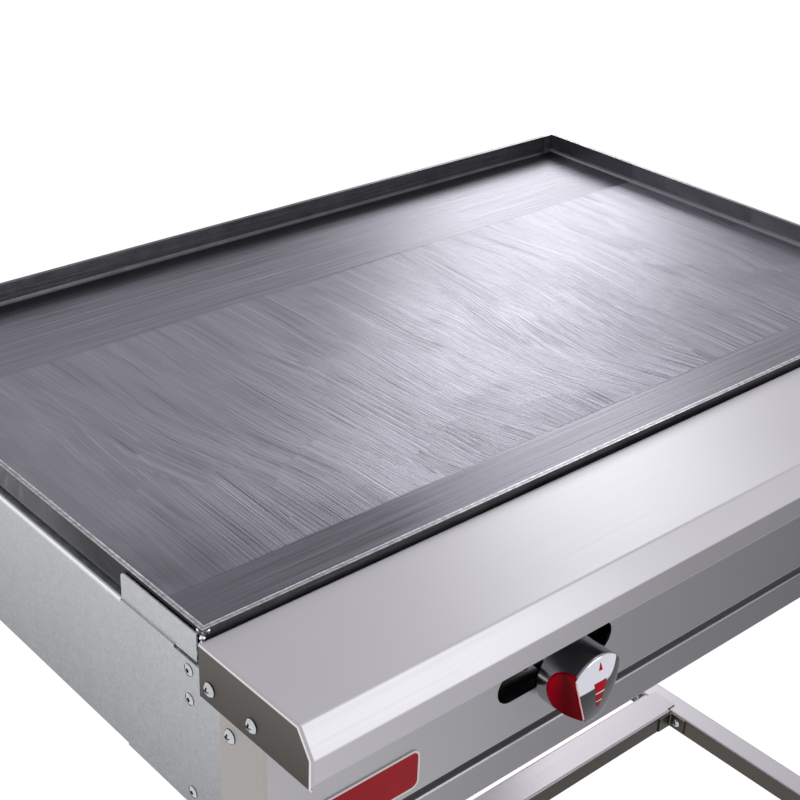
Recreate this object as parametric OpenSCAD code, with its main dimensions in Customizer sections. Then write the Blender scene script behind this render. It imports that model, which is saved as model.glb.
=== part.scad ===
// Free-standing gas griddle: a folded stainless frame on four angle legs, a
// rimmed steel griddle plate, a front shelf, and two burners, each with its tap.
// X runs along the front, Y to the back, Z up. The origin is on the floor, in
// the middle of the space that the griddle fills.

/* [Overall] */
// Floor to the top of the griddle rim
height = 900; // [780:5:1000]
// Width over the legs
frame_w = 900; // [860:5:1100]
// Depth over the legs
frame_d = 672; // [640:2:800]

/* [Griddle plate] */
// Plate thickness
plate_t = 4; // [3:0.5:6]
// Height of the folded rim, over the outside
rim_h = 25; // [20:1:32]
// Inside radius of the folded rim
rim_bend_r = 4; // [3:0.5:6]
// Gap between the plate and the locating ears at each side
plate_gap = 0.8; // [0.5:0.1:1]
// Front of the frame to the front of the plate
plate_setback = 73; // [60:1:80]
// Back of the plate to the back of the frame, for the flue gases
flue_gap = 47; // [40:1:90]

/* [Sheet metal] */
// Thickness of the casing, panel and shelf sheet
sheet_t = 1.2; // [0.8:0.1:1.5]
// Inside radius of every bend in thin sheet
bend_r = 1.5; // [1:0.1:2.5]
// Width of the stiffening folds
fold_w = 12; // [8:1:16]
// Gap that is left where two sheets meet edge to edge
sheet_gap = 0.3; // [0.2:0.05:0.5]

/* [Legs] */
// Width of each flange of a leg
leg_w = 50; // [45:1:60]
// Leg thickness
leg_t = 2; // [1.5:0.1:3]
// Floor to the lower end of a leg
leg_foot_z = 22; // [20:1:30]

/* [Casing] */
// Height of the casing round the burners
casing_h = 127.5; // [120:0.5:150]
// Gap between the underside of the plate and the top of the casing
casing_gap = 1.5; // [0.5:0.1:3]
// How far the casing sheets lie behind the outer faces of the legs
casing_inset = 0.8; // [0.2:0.1:0.8]
// Front face of a leg to the end of its corner bracket
bracket_reach = 166; // [150:1:190]
// Arm of a corner bracket across the back or the front
bracket_arm = 70; // [64:1:90]
// Rim top to the top of a locating ear
ear_drop = 4; // [2:0.5:8]
// Plate front to the front edge of an ear
ear_start = 4; // [2:1:10]
// Length of the slit under the front end of an ear
ear_slit = 25; // [15:1:40]
// Height of that slit
ear_slit_h = 2; // [1:0.5:4]

/* [Front shelf] */
// Rim top to the top of the shelf
shelf_drop = 5; // [2:0.5:8]
// Gap between the plate and the shelf
shelf_gap = 3; // [2:0.5:6]
// Depth of the flat top of the shelf
shelf_top_d = 103; // [85:1:120]
// How far the bevel runs forward
bevel_run = 13; // [8:1:18]
// How far the bevel falls
bevel_fall = 19.5; // [12:0.5:24]
// Height of the upright front face
shelf_face_h = 20.5; // [16:0.5:28]
// Shelf top to the lower edge of its ends
shelf_end_h = 42.5; // [40.5:0.5:52]
// Height of the fold at the back of the shelf
shelf_back_h = 16; // [10:1:18]

/* [Control panel] */
// Middle of the griddle to each knob
knob_x = 187; // [160:1:230]
// Rim top to the axis of a knob
knob_drop = 105; // [98:1:108]
// Length of the slot behind a knob
slot_w = 120; // [90:1:140]
// Height of the slot
slot_h = 28; // [20:1:32]
// Gap between the control panel and the front rail
rail_gap = 7; // [4:1:12]
// Height of the front and rear rails
rail_h = 30; // [24:1:40]
// Depth of the folds of the rails
rail_d = 15; // [12:1:20]
// Badge length
badge_w = 110; // [80:1:120]
// Badge height
badge_h = 34; // [24:1:40]
// Badge thickness
badge_t = 1; // [0.6:0.1:1.5]
// Corner radius of the badge
badge_r = 7; // [3:1:12]
// Left edge of the panel to the middle of the badge
badge_inset = 74; // [70:1:110]

/* [Knob] */
// Knob diameter
knob_dia = 57; // [50:1:62]
// Knob length
knob_len = 31; // [28:0.5:36]
// Gap between the panel and the knob
knob_stand = 8; // [7:0.5:12]
// Radius of the round scoop in each side of the knob
scoop_r = 23.7; // [22:0.1:25]
// Knob axis to the axis of a scoop, at mid height
scoop_x = 40.1; // [39:0.1:42]
// How far the upper end of a scoop leans outwards, in degrees
scoop_lean_out = 22; // [18:1:26]
// How far it leans back, in degrees
scoop_lean_back = 18.6; // [14:0.2:22]
// Thickness of the inlay in a scoop
inlay_t = 1.2; // [0.8:0.1:2]

/* [Gas taps] */
// How far a knob is pushed in before it turns
push_travel = 4; // [2:0.5:5]
// Spindle diameter
spindle_dia = 8; // [6:0.5:10]
// Running clearance of every turning or sliding part, on the radius
running_gap = 0.05; // [0.02:0.01:0.08]
// Tap body diameter
tap_dia = 28; // [24:1:32]
// Length of the tap body
tap_len = 28; // [24:1:34]
// Length of the bonnet in front of the body
bonnet_len = 13; // [12:0.5:15]
// Outside diameter of the manifold pipe
pipe_dia = 21.3; // [17:0.1:22]
// Wall of the manifold pipe
pipe_wall = 2.6; // [1.5:0.1:3]
// Knob axis down to the manifold axis
manifold_drop = 32; // [30:0.5:32.5]
// Outer face of the right legs to the gas inlet
inlet_inset = 75; // [70:1:100]
// Width of the straps that carry the manifold
strap_w = 25; // [20:1:30]
// Thickness of the straps
strap_t = 2; // [1.5:0.1:3]
// Height of the straps on the bulkhead
strap_h = 42; // [35:1:45]
// Middle of the griddle to the inner straps
strap_x = 90; // [60:1:120]
// Gas inlet to the end strap
strap_end = 100; // [80:1:120]
// Outside diameter of the inlet thread
inlet_dia = 20.96; // [16:0.02:21]
// Length of the inlet thread
inlet_len = 18; // [14:1:20]
// Gap between the gas pipe and the end of the floor under the taps
floor_end_gap = 12; // [6:1:20]

/* [Burners] */
// Outside diameter of the burner tubes
burner_dia = 32; // [28:1:36]
// Wall of the burner tubes
burner_wall = 1.5; // [1:0.1:2.5]
// Distance between the two long tubes of a burner
burner_pitch = 200; // [170:2:210]
// Length of a long tube
burner_len = 400; // [340:5:420]
// Outside diameter of the mixing tube
mixer_dia = 26; // [24:0.5:28]
// Diameter of a flame port
port_dia = 3; // [2:0.5:4]
// Distance between flame ports
port_pitch = 25; // [20:1:40]
// How far an air shutter reaches round the mixing tube
shutter_len = 22; // [18:1:22]

/* [Lower frame] */
// Floor to the top of the side stretchers
stretcher_z = 232; // [150:1:300]
// Width of a side stretcher
side_bar_w = 30; // [24:1:36]
// Height of a side stretcher
side_bar_h = 23; // [20:1:30]
// Width of the cross stretcher
cross_bar_w = 42; // [34:1:50]
// Thickness of the stretchers
bar_t = 1.5; // [1:0.1:2]
// Arm length of the clips that hold the cross stretcher
clip_w = 22; // [20:1:30]
// How far the cross stretcher laps onto the side stretchers
tongue = 12; // [8:1:20]

/* [Feet] */
// Diameter of a foot pad
pad_dia = 40; // [30:1:44]
// Height of a foot pad
pad_h = 12; // [9:1:13]
// Diameter of the foot stems
stem_dia = 10; // [8:1:12]
// Leg corner to the foot axis, both ways
foot_inset = 24; // [23:0.5:27]
// How far a foot screws down
foot_travel = 15; // [10:1:20]

/* [Fasteners] */
// Diameter of a screw head
head_dia = 11; // [9:0.5:12]
// Height of a screw head
head_h = 3.2; // [2.4:0.1:4]
// Diameter of the screws and bolts
bolt_dia = 6; // [4:0.5:6]
// Width across the flats of a nut
nut_af = 10; // [8:0.5:10]
// Diameter of a rivet head
rivet_head_dia = 7; // [6:0.5:9]
// Diameter of a rivet
rivet_dia = 4; // [3:0.2:4.8]
// Clearance of a fastener in its hole, on the radius
hole_gap = 0.2; // [0.1:0.05:0.3]

/* [Hidden] */
$fn = 48;
eps = 0.01;
bend_steps = 3;

// Places across the griddle
leg_x = frame_w / 2;
leg_in_x = leg_x - leg_t;
ear_in_x = leg_in_x - sheet_t;
plate_w = 2 * (ear_in_x - plate_gap);

// Places from front to back
shelf_overhang = shelf_gap + shelf_top_d + bevel_run - plate_setback;
rivet_proud = max(0, rivet_head_dia * 0.2 - casing_inset);
shelf_front_y = -(frame_d + shelf_overhang + rivet_proud) / 2;
front_y = shelf_front_y + shelf_overhang;
back_y = front_y + frame_d;
mid_y = (front_y + back_y) / 2;
plate_front_y = front_y + plate_setback;
plate_d = frame_d - plate_setback - flue_gap;
plate_back_y = plate_front_y + plate_d;
panel_y = front_y - sheet_t;

// Heights
plate_z = height - rim_h;
casing_top_z = plate_z - casing_gap;
casing_low_z = casing_top_z - casing_h;
shelf_z = height - shelf_drop;
rail_top_z = casing_low_z - rail_gap;
rail_low_z = rail_top_z - rail_h;
knob_z = height - knob_drop;
manifold_z = knob_z - manifold_drop;
inlet_x = leg_x - inlet_inset;
strap_low_z = manifold_z - pipe_dia / 2 - strap_t;
tap_floor_z = min(casing_low_z, strap_low_z - sheet_gap - sheet_t);
tap_floor_x = inlet_x - pipe_dia / 2 - floor_end_gap;

// Tap, jet and burner, one behind the other
knob_back_y = panel_y - knob_stand;
knob_face_y = knob_back_y - knob_len;
bonnet_y = front_y + 8;
tap_y = bonnet_y + bonnet_len;
tap_back_y = tap_y + tap_len;
tap_neck = 8;
jet_y = tap_back_y + tap_neck;
jet_hex_len = 6;
mixer_y = jet_y + 10;
shutter_y = mixer_y + 2;
bulkhead_y = shutter_y + shutter_len + 8;
header_y = bulkhead_y + 34;
burner_end_y = header_y + burner_len;
manifold_y = tap_y + tap_len / 2;
seat_depth = 8;
seat_dia = 16;
washer_t = 2;
washer_y = bonnet_y + 0.5;
collar_t = 2.4;
collar_dia = 12;
spindle_grip = 18;
rest_w = 25;
rest_inset = 5;
support_y = burner_end_y - 40;
support_w = 25;

// Fasteners
rivet_y = 85;
rivet_drops = [10.5, 34.5, 114.5];
shelf_screw_z = shelf_z - 31;
shelf_screw_y = [59, 14];
leg_screw_y = 39;
leg_screw_drops = [35, 107];
bolt_z = stretcher_z - side_bar_h / 2;
clip_bolt_y = cross_bar_w / 2 + clip_w / 2;
foot_plate_w = 42;
foot_plate_t = 6;
foot_plate_z = leg_foot_z + 4;
stem_spare = 15;
stem_top_z = foot_plate_z + foot_plate_t + foot_travel + stem_spare;
hex_h = 8;
hex_af = 17;

stainless = "#b9b6bb";
galvanised = "#a9abae";
zinc = "#c8cacc";

// Unit vector, left-hand normal and rotation in the plane
function unit(v) = v / norm(v);
function left_of(v) = [-v[1], v[0]];
function turn(v, a) = [v[0] * cos(a) - v[1] * sin(a), v[0] * sin(a) + v[1] * cos(a)];
function side_of(a, b) = a[0] * b[1] - a[1] * b[0];
function backwards(p) = [for (i = [len(p) - 1:-1:0]) p[i]];

// Rounded corner i of a folded sheet, on the face that lies off to the left of the path
function bend(p, i, t, r, off) =
    let (a = unit(p[i] - p[i - 1]), b = unit(p[i + 1] - p[i]))
    let (s = sign(side_of(a, b)), angle = atan2(abs(side_of(a, b)), a * b))
    let (path_r = s > 0 ? r + t : r, face_r = s > 0 ? r + t - off : r + off)
    let (c = p[i] - a * path_r * tan(angle / 2) + left_of(a) * s * path_r)
    [for (k = [0:bend_steps]) c + turn(-s * left_of(a) * face_r, s * angle * k / bend_steps)];

// One face of a folded sheet
function face(p, t, r, off) =
    let (n = len(p) - 1)
    concat([p[0] + left_of(unit(p[1] - p[0])) * off],
        n > 1 ? [for (i = [1:n - 1]) each bend(p, i, t, r, off)] : [],
        [p[n] + left_of(unit(p[n] - p[n - 1])) * off]);

// Section of a sheet of thickness t, folded along a path, to the left of the path
module folded(path, t = sheet_t, r = bend_r) {
    polygon(concat(face(path, t, r, 0), backwards(face(path, t, r, t))));
}

// A section in Y and Z, drawn out along X from -w/2 to w/2
module along_x(w, x = 0) {
    translate([x - w / 2, 0, 0])
        rotate([90, 0, 90])
            linear_extrude(w) children();
}

// A section in X and Z, drawn out along Y
module along_y(y0, y1) {
    translate([0, y1, 0])
        rotate([90, 0, 0])
            linear_extrude(y1 - y0) children();
}

// A solid or hole of round section that runs along Y or X
module rod_y(r, y0, y1) {
    translate([0, y1, 0])
        rotate([90, 0, 0])
            cylinder(r = r, h = y1 - y0);
}
module rod_x(r, x0, x1) {
    translate([x0, 0, 0])
        rotate([0, 90, 0])
            cylinder(r = r, h = x1 - x0);
}

// A piece drawn for the right side is mirrored for the left, or front to back
module on_side(side) {
    mirror([side == "left" ? 1 : 0, 0, 0]) children();
}
module front_to_back(flip) {
    translate([0, flip ? 2 * mid_y : 0, 0])
        mirror([0, flip ? 1 : 0, 0]) children();
}

// Section of a pan: upright walls, and a flat floor with rounded lower corners
module pan_section(w, low, high, r) {
    polygon(concat([[w / 2, high], [-w / 2, high]],
        [for (k = [0:bend_steps]) [-w / 2 + r, low + r] + turn([-r, 0], 90 * k / bend_steps)],
        [for (k = [0:bend_steps]) [w / 2 - r, low + r] + turn([0, -r], 90 * k / bend_steps)]));
}

// Solid pan of the plate's outline, from the floor at height low
module pan(inset, low, r) {
    intersection() {
        along_x(plate_w - 2 * inset)
            translate([(plate_front_y + plate_back_y) / 2, 0])
                pan_section(plate_d - 2 * inset, low, height + (inset > 0 ? 1 : 0), r);
        along_y(plate_front_y + inset, plate_back_y - inset)
            pan_section(plate_w - 2 * inset, low, height + (inset > 0 ? 1 : 0), r);
    }
}

// Steel plate with a rim folded up on all four sides
module griddle_plate() {
    color("#7b7982")
        difference() {
            pan(0, plate_z, rim_bend_r + plate_t);
            pan(plate_t, plate_z + plate_t, rim_bend_r);
        }
}

// Places of the two screws in each end of the shelf, from the front of the legs
module at_shelf_screws() {
    for (y = shelf_screw_y)
        translate([leg_x, front_y + y, shelf_screw_z]) children();
}

// Cuts the outer edge of a shelf end round, along one stretch of the shelf's outline
module round_end(from, to) {
    r = bend_r + 0.7;
    length = norm(to - from);
    translate([0, from[0], from[1]])
        rotate([atan2(to[1] - from[1], to[0] - from[0]), 0, 0])
            translate([leg_x + sheet_t - r, 0, r])
                along_y(-r / 2, length + r / 2)
                    difference() {
                        translate([0, -r - 1])
                            square(r + 1);
                        circle(r);
                    }
}

// Shelf over the controls: flat top, bevelled nose, and ends folded down
module front_shelf() {
    back = plate_front_y - shelf_gap;
    heel = [back, shelf_z];
    crease = [back - shelf_top_d, shelf_z];
    nose = [shelf_front_y, shelf_z - bevel_fall];
    foot = nose - [0, shelf_face_h];
    end_z = shelf_z - shelf_end_h;
    color(stainless)
        difference() {
            union() {
                along_x(frame_w)
                    folded([heel - [0, shelf_back_h], heel, crease, nose, foot, foot + [fold_w, 0]]);
                for (side = [-1, 1])
                    along_x(sheet_t, side * (leg_x + sheet_t / 2))
                        polygon([[back, end_z], heel, crease, nose, [shelf_front_y, end_z]]);
            }
            for (side = ["left", "right"])
                on_side(side) {
                    at_shelf_screws()
                        rod_x(bolt_dia / 2 + hole_gap, -1, sheet_t + 1);
                    round_end(heel, crease);
                    round_end(crease, nose);
                    round_end(nose, foot);
                }
        }
}

// Slot that shows the tap and lets a match through
module slot() {
    r = slot_h / 2;
    for (side = [-1, 1])
        translate([side * (slot_w / 2 - r), 0, knob_z])
            rod_y(r, panel_y - 1, front_y + 1);
    translate([-slot_w / 2 + r, panel_y - 1, knob_z - r])
        cube([slot_w - 2 * r, sheet_t + 2, slot_h]);
}

// Upright sheet with its outer face on y = 0, and folds behind it on part of its length
module folded_sheet(w, fold_len, low, high, low_fold, high_fold) {
    edge = sheet_t + bend_r;
    along_x(w)
        translate([-sheet_t, low + edge])
            square([sheet_t, high - low - 2 * edge]);
    for (side = [-1, 1])
        along_x((w - fold_len) / 2, side * (w + fold_len) / 4)
            translate([-sheet_t, low])
                square([sheet_t, high - low]);
    along_x(fold_len)
        folded([[-low_fold, low], [0, low], [0, high], [-high_fold, high]]);
}

// Strip over the front of the legs, folded back between them
module front_strip(low, high, depth) {
    translate([0, panel_y, 0])
        mirror([0, 1, 0])
            folded_sheet(frame_w, frame_w - 2 * leg_w - 2 * sheet_gap, low, high, fold_w, depth);
}

// Control panel: its lower edge lies above the front rail
module control_panel() {
    color("#a3a2a5")
        difference() {
            front_strip(casing_low_z, casing_top_z, fold_w);
            for (x = [-knob_x, knob_x])
                translate([x, 0, 0]) slot();
        }
}

// Blank badge on the left of the control panel
module badge_plate() {
    color("#a8202c")
        translate([-leg_x + badge_inset, panel_y, knob_z - 25])
            rotate([90, 0, 0])
                linear_extrude(badge_t) {
                    square([badge_w - 2 * badge_r, badge_h], center = true);
                    square([badge_w, badge_h - 2 * badge_r], center = true);
                    for (x = [-1, 1], z = [-1, 1])
                        translate([x * (badge_w / 2 - badge_r), z * (badge_h / 2 - badge_r)])
                            circle(badge_r);
                }
}

// Rails that tie the legs together under the casing
module front_rail() {
    color("#8b8a8f")
        front_strip(rail_low_z, rail_top_z, rail_d);
}
module rear_rail() {
    y = back_y - leg_t;
    color(stainless)
        along_x(2 * (leg_in_x - leg_t - sheet_gap))
            folded([[y - fold_w, rail_low_z], [y, rail_low_z], [y, rail_top_z], [y - rail_d, rail_top_z]]);
}

// Casing sheet, folded inwards at top and bottom
module casing_sheet(w, fold_len) {
    folded_sheet(w, fold_len, casing_low_z, casing_top_z, fold_w, fold_w);
}

// Rivet heights, down from the top of the casing
module at_rivets() {
    for (drop = rivet_drops)
        translate([0, 0, casing_top_z - drop]) children();
}
module back_rivet_places() {
    at_rivets()
        for (side = [-1, 1])
            translate([side * (leg_x - leg_w - 12), back_y - casing_inset, 0])
                rotate([0, 0, 90]) children();
}
module side_rivet_places() {
    at_rivets()
        for (flip = [false, true])
            front_to_back(flip)
                translate([leg_x - casing_inset, front_y + rivet_y, 0]) children();
}
module rivet_hole() {
    rod_x(rivet_dia / 2 + hole_gap, -5, 5);
}

// Galvanised back of the casing, between the rear legs
module rear_panel() {
    color(galvanised)
        difference() {
            translate([0, back_y - casing_inset, 0])
                casing_sheet(frame_w - 2 * leg_w - 2 * sheet_gap,
                    2 * (leg_in_x - bracket_arm - sheet_gap));
            back_rivet_places() rivet_hole();
        }
}

// Galvanised side of the casing, with a step in its top edge under the front ear
module side_panel(side) {
    span = frame_d - 2 * leg_w - 2 * sheet_gap;
    step_y = plate_front_y + ear_start + ear_slit;
    color(galvanised)
        on_side(side)
            difference() {
                translate([leg_x - casing_inset, mid_y, 0])
                    rotate([0, 0, -90])
                        casing_sheet(span, frame_d - 2 * (bracket_reach + sheet_gap));
                side_rivet_places() rivet_hole();
                translate([leg_in_x - 1, front_y, casing_top_z - ear_slit_h])
                    cube([leg_t + 1, step_y - front_y, ear_slit_h + 1]);
                at_shelf_screws()
                    rod_x(bolt_dia / 2 + hole_gap, -leg_t - 1, 1);
            }
}

// Corner bracket inside a leg. Its ear stands up beside the plate and keeps it in place
module bracket(side, flip) {
    y0 = front_y + leg_t;
    ear_y = plate_front_y + ear_start;
    end_y = front_y + bracket_reach;
    ear_r = 4;
    fold_room = sheet_t + sheet_gap;
    color(galvanised)
        on_side(side) front_to_back(flip)
            difference() {
                union() {
                    translate([0, 0, casing_low_z + fold_room])
                        linear_extrude(casing_h - 2 * fold_room)
                            folded([[leg_in_x - bracket_arm, y0], [leg_in_x, y0], [leg_in_x, end_y]]);
                    along_x(sheet_t, leg_in_x - sheet_t / 2)
                        polygon(concat([[ear_y, casing_top_z - ear_slit_h],
                            [end_y, casing_top_z - ear_slit_h]],
                            [for (k = [0:bend_steps]) [end_y - ear_r, height - ear_drop - ear_r]
                                + turn([ear_r, 0], 90 * k / bend_steps)],
                            [[ear_y, height - ear_drop]]));
                }
                translate([leg_in_x - sheet_t - 1, ear_y - eps, casing_top_z - ear_slit_h])
                    cube([sheet_t + 2, ear_slit + eps, ear_slit_h]);
                side_rivet_places() rivet_hole();
                if (flip)
                    front_to_back(true) back_rivet_places() rivet_hole();
                if (!flip)
                    at_shelf_screws()
                        rod_x(bolt_dia / 2 + hole_gap, -leg_t - sheet_t - 1, 1);
                at_leg_screws()
                    rod_x(bolt_dia / 2 + hole_gap, -leg_t - sheet_t - 1, 1);
            }
}
module bracket_front_left() { bracket("left", false); }
module bracket_front_right() { bracket("right", false); }
module bracket_rear_left() { bracket("left", true); }
module bracket_rear_right() { bracket("right", true); }

// Places of the two screws that hold each leg to its bracket
module at_leg_screws() {
    for (drop = leg_screw_drops)
        translate([leg_x, front_y + leg_screw_y, casing_top_z - drop]) children();
}

// Folded angle leg
module leg(side, flip) {
    color("#a6a2a0")
        on_side(side) front_to_back(flip)
            difference() {
                translate([0, 0, leg_foot_z])
                    linear_extrude(casing_top_z - leg_foot_z)
                        folded([[leg_x - leg_w, front_y], [leg_x, front_y], [leg_x, front_y + leg_w]],
                            leg_t, leg_t);
                at_leg_screws()
                    rod_x(bolt_dia / 2 + hole_gap, -leg_t - 1, 1);
                if (!flip)
                    at_shelf_screws()
                        rod_x(bolt_dia / 2 + hole_gap, -leg_t - 1, 1);
                translate([leg_x, front_y + leg_w / 2, bolt_z])
                    rod_x(bolt_dia / 2 + hole_gap, -leg_t - 1, 1);
            }
}
module leg_front_left() { leg("left", false); }
module leg_front_right() { leg("right", false); }
module leg_rear_left() { leg("left", true); }
module leg_rear_right() { leg("right", true); }

// Bulkhead between the taps and the burners, folded forward below the taps as their floor
module front_bulkhead() {
    edge = sheet_t + bend_r;
    back = bulkhead_y + sheet_t;
    color(galvanised)
        difference() {
            union() {
                along_x(2 * ear_in_x)
                    translate([bulkhead_y, tap_floor_z + edge])
                        square([sheet_t, plate_z - tap_floor_z - edge]);
                along_x(2 * tap_floor_x)
                    folded([[panel_y + fold_w + sheet_gap, tap_floor_z], [back, tap_floor_z],
                        [back, tap_floor_z + 2 * edge]]);
            }
            for (x = [-knob_x, knob_x])
                translate([x, 0, knob_z])
                    rod_y(mixer_dia / 2 + sheet_gap, bulkhead_y - 1, back + 1);
        }
}

// Angles under the front and the back of the plate
module rest_rail(y) {
    color(galvanised)
        along_x(2 * ear_in_x)
            folded([[y, plate_z - rest_w], [y, plate_z], [y - rest_w, plate_z]]);
}
module front_rest_rail() { rest_rail(bulkhead_y); }
module rear_rest_rail() { rest_rail(plate_back_y - rest_inset); }

// Angle across the casing that carries the closed ends of the burners
module burner_support_bar() {
    z = knob_z - burner_dia / 2;
    color(galvanised)
        along_x(2 * leg_in_x)
            folded([[support_y, z - support_w], [support_y, z], [support_y - support_w, z]]);
}

// Side stretcher: an inverted channel from front leg to rear leg
module side_stretcher(side) {
    color("#d0cdd4")
        on_side(side)
            difference() {
                along_y(front_y + 2 * leg_t + sheet_gap, back_y - 2 * leg_t - sheet_gap)
                    folded([[leg_in_x, stretcher_z - side_bar_h], [leg_in_x, stretcher_z],
                        [leg_in_x - side_bar_w, stretcher_z],
                        [leg_in_x - side_bar_w, stretcher_z - side_bar_h]], bar_t);
                for (flip = [false, true])
                    front_to_back(flip) {
                        translate([leg_in_x, front_y + leg_w / 2, bolt_z])
                            rod_x(bolt_dia / 2 + hole_gap, -bar_t - 1, 1);
                        translate([leg_in_x - side_bar_w, mid_y - clip_bolt_y, bolt_z])
                            rod_x(bolt_dia / 2 + hole_gap, -1, bar_t + 1);
                    }
            }
}
module side_stretcher_left() { side_stretcher("left"); }
module side_stretcher_right() { side_stretcher("right"); }

// Cross stretcher: an inverted channel whose top laps onto the side stretchers
module cross_stretcher() {
    reach = leg_in_x - side_bar_w;
    top = stretcher_z + bar_t;
    low = stretcher_z - side_bar_h + bar_t;
    half = cross_bar_w / 2;
    color("#d0cdd4") {
        along_x(2 * (reach - bar_t - sheet_gap))
            translate([mid_y, 0])
                folded([[half, low], [half, top], [-half, top], [-half, low]], bar_t);
        along_x(2 * (reach + tongue))
            translate([mid_y - half + 2 * bar_t + bend_r, stretcher_z])
                square([cross_bar_w - 4 * bar_t - 2 * bend_r, bar_t]);
    }
}

// Four angle clips, welded to the cross stretcher and bolted to the side stretchers
module stretcher_clips() {
    reach = leg_in_x - side_bar_w;
    half = cross_bar_w / 2 + bar_t;
    color("#d0cdd4")
        for (side = ["left", "right"], flip = [false, true])
            on_side(side) front_to_back(flip)
                difference() {
                    translate([0, 0, stretcher_z - side_bar_h + bar_t])
                        linear_extrude(side_bar_h - 2 * bar_t)
                            folded([[reach, mid_y - half - clip_w], [reach, mid_y - half + bar_t],
                                [reach - clip_w, mid_y - half + bar_t]], bar_t);
                    translate([reach, mid_y - clip_bolt_y, bolt_z])
                        rod_x(bolt_dia / 2 + hole_gap, -bar_t - 1, 1);
                }
}

// Four feet: at the corners, inside the legs
module at_foot(side, flip) {
    on_side(side) front_to_back(flip)
        translate([leg_x - foot_inset, front_y + foot_inset, 0]) children();
}

// Threaded plate welded into the lower end of each leg
module foot_sockets() {
    far = foot_plate_w - foot_inset + leg_t;
    near = foot_inset - leg_t;
    color(stainless)
        for (side = ["left", "right"], flip = [false, true])
            at_foot(side, flip)
                translate([0, 0, foot_plate_z])
                    difference() {
                        linear_extrude(foot_plate_t)
                            polygon([[-far, -near], [near - leg_t, -near], [near, leg_t - near],
                                [near, far], [-far, far]]);
                        translate([0, 0, -1])
                            cylinder(r = stem_dia / 2 + running_gap, h = foot_plate_t + 2);
                    }
}

// Foot pad, with a round recess for the stem
module foot_pad(side, flip) {
    r = pad_dia / 2;
    crown = 2;
    color("#26262a")
        at_foot(side, flip)
            rotate_extrude()
                polygon([[0, 0], [r - 1, 0], [r, 1], [r, pad_h * 0.4], [r - crown, pad_h * 0.6],
                    [r * 0.55, pad_h], [stem_dia / 2 + running_gap, pad_h],
                    [stem_dia / 2 + running_gap, pad_h / 2], [0, pad_h / 2]]);
}
module foot_pad_front_left() { foot_pad("left", false); }
module foot_pad_front_right() { foot_pad("right", false); }
module foot_pad_rear_left() { foot_pad("left", true); }
module foot_pad_rear_right() { foot_pad("right", true); }

// Threaded foot stem with a hexagon for the spanner
module foot_stem(side, flip) {
    color(zinc)
        at_foot(side, flip) {
            translate([0, 0, pad_h / 2])
                cylinder(r = stem_dia / 2, h = stem_top_z - pad_h / 2);
            translate([0, 0, pad_h])
                cylinder(r = hex_af / sqrt(3), h = hex_h, $fn = 6);
        }
}
module foot_stem_front_left() { foot_stem("left", false); }
module foot_stem_front_right() { foot_stem("right", false); }
module foot_stem_rear_left() { foot_stem("left", true); }
module foot_stem_rear_right() { foot_stem("right", true); }

// Domed head whose seat is on x = 0, with a shank that runs inwards
module domed_pin(r, h, shank_r, reach) {
    dome_r = (r * r + h * h) / (2 * h);
    rise = asin(r / dome_r);
    rotate([0, 90, 0])
        rotate_extrude()
            polygon(concat([[0, -reach], [shank_r, -reach], [shank_r, 0]],
                [for (k = [0:4]) [0, h - dome_r] + turn([0, dome_r], rise * (k / 4 - 1))]));
}
module screw(reach) {
    domed_pin(head_dia / 2, head_h, bolt_dia / 2, reach);
}
module nut(x) {
    translate([x, 0, 0])
        rotate([0, 90, 0])
            cylinder(r = nut_af / sqrt(3), h = bolt_dia * 0.8, $fn = 6);
}

// Screws that hold the ends of the shelf
module shelf_screws() {
    color(zinc)
        for (side = ["left", "right"])
            on_side(side) at_shelf_screws()
                translate([sheet_t, 0, 0])
                    screw(2 * sheet_t + leg_t + 4);
}

// Screws that hold the legs to the corner brackets
module leg_screws() {
    color(zinc)
        for (side = ["left", "right"], flip = [false, true])
            on_side(side) front_to_back(flip) at_leg_screws()
                screw(sheet_t + leg_t + 4);
}

// Blind rivets of the casing
module panel_rivets() {
    color(zinc) {
        for (side = ["left", "right"])
            on_side(side) side_rivet_places() rivet();
        back_rivet_places() rivet();
    }
}
module rivet() {
    domed_pin(rivet_head_dia / 2, rivet_head_dia * 0.2, rivet_dia / 2, 2 * sheet_t + 3);
}

// Bolts of the lower frame, through the legs and through the tabs
module stretcher_bolts() {
    nut_h = bolt_dia * 0.8;
    inner = leg_in_x - side_bar_w;
    color(zinc)
        for (side = ["left", "right"], flip = [false, true])
            on_side(side) front_to_back(flip) {
                translate([leg_x, front_y + leg_w / 2, bolt_z]) {
                    screw(leg_t + bar_t + nut_h + 1);
                    nut(-leg_t - bar_t - nut_h);
                }
                translate([inner - bar_t, mid_y - clip_bolt_y, bolt_z])
                    mirror([1, 0, 0]) {
                        screw(2 * bar_t + nut_h + 1);
                        nut(-2 * bar_t - nut_h);
                    }
            }
}

// Gas pipe behind the control panel, turned down at its right end
module manifold_pipe() {
    elbow_r = 22;
    r = pipe_dia / 2;
    drop = inlet_len + 4;
    far_x = -knob_x - 40;
    color("#8f8f93")
        translate([0, manifold_y, manifold_z])
            difference() {
                union() {
                    rod_x(r, far_x, inlet_x - elbow_r);
                    translate([inlet_x - elbow_r, 0, -elbow_r])
                        rotate([90, 0, 0])
                            rotate_extrude(angle = 90)
                                translate([elbow_r, 0])
                                    circle(r);
                }
                rod_x(r - pipe_wall, far_x + pipe_wall, inlet_x - elbow_r + eps);
                translate([inlet_x - elbow_r, 0, -elbow_r])
                    rotate([90, 0, 0])
                        rotate_extrude(angle = 90)
                            translate([elbow_r, 0])
                                circle(r - pipe_wall);
            }
}

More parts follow.
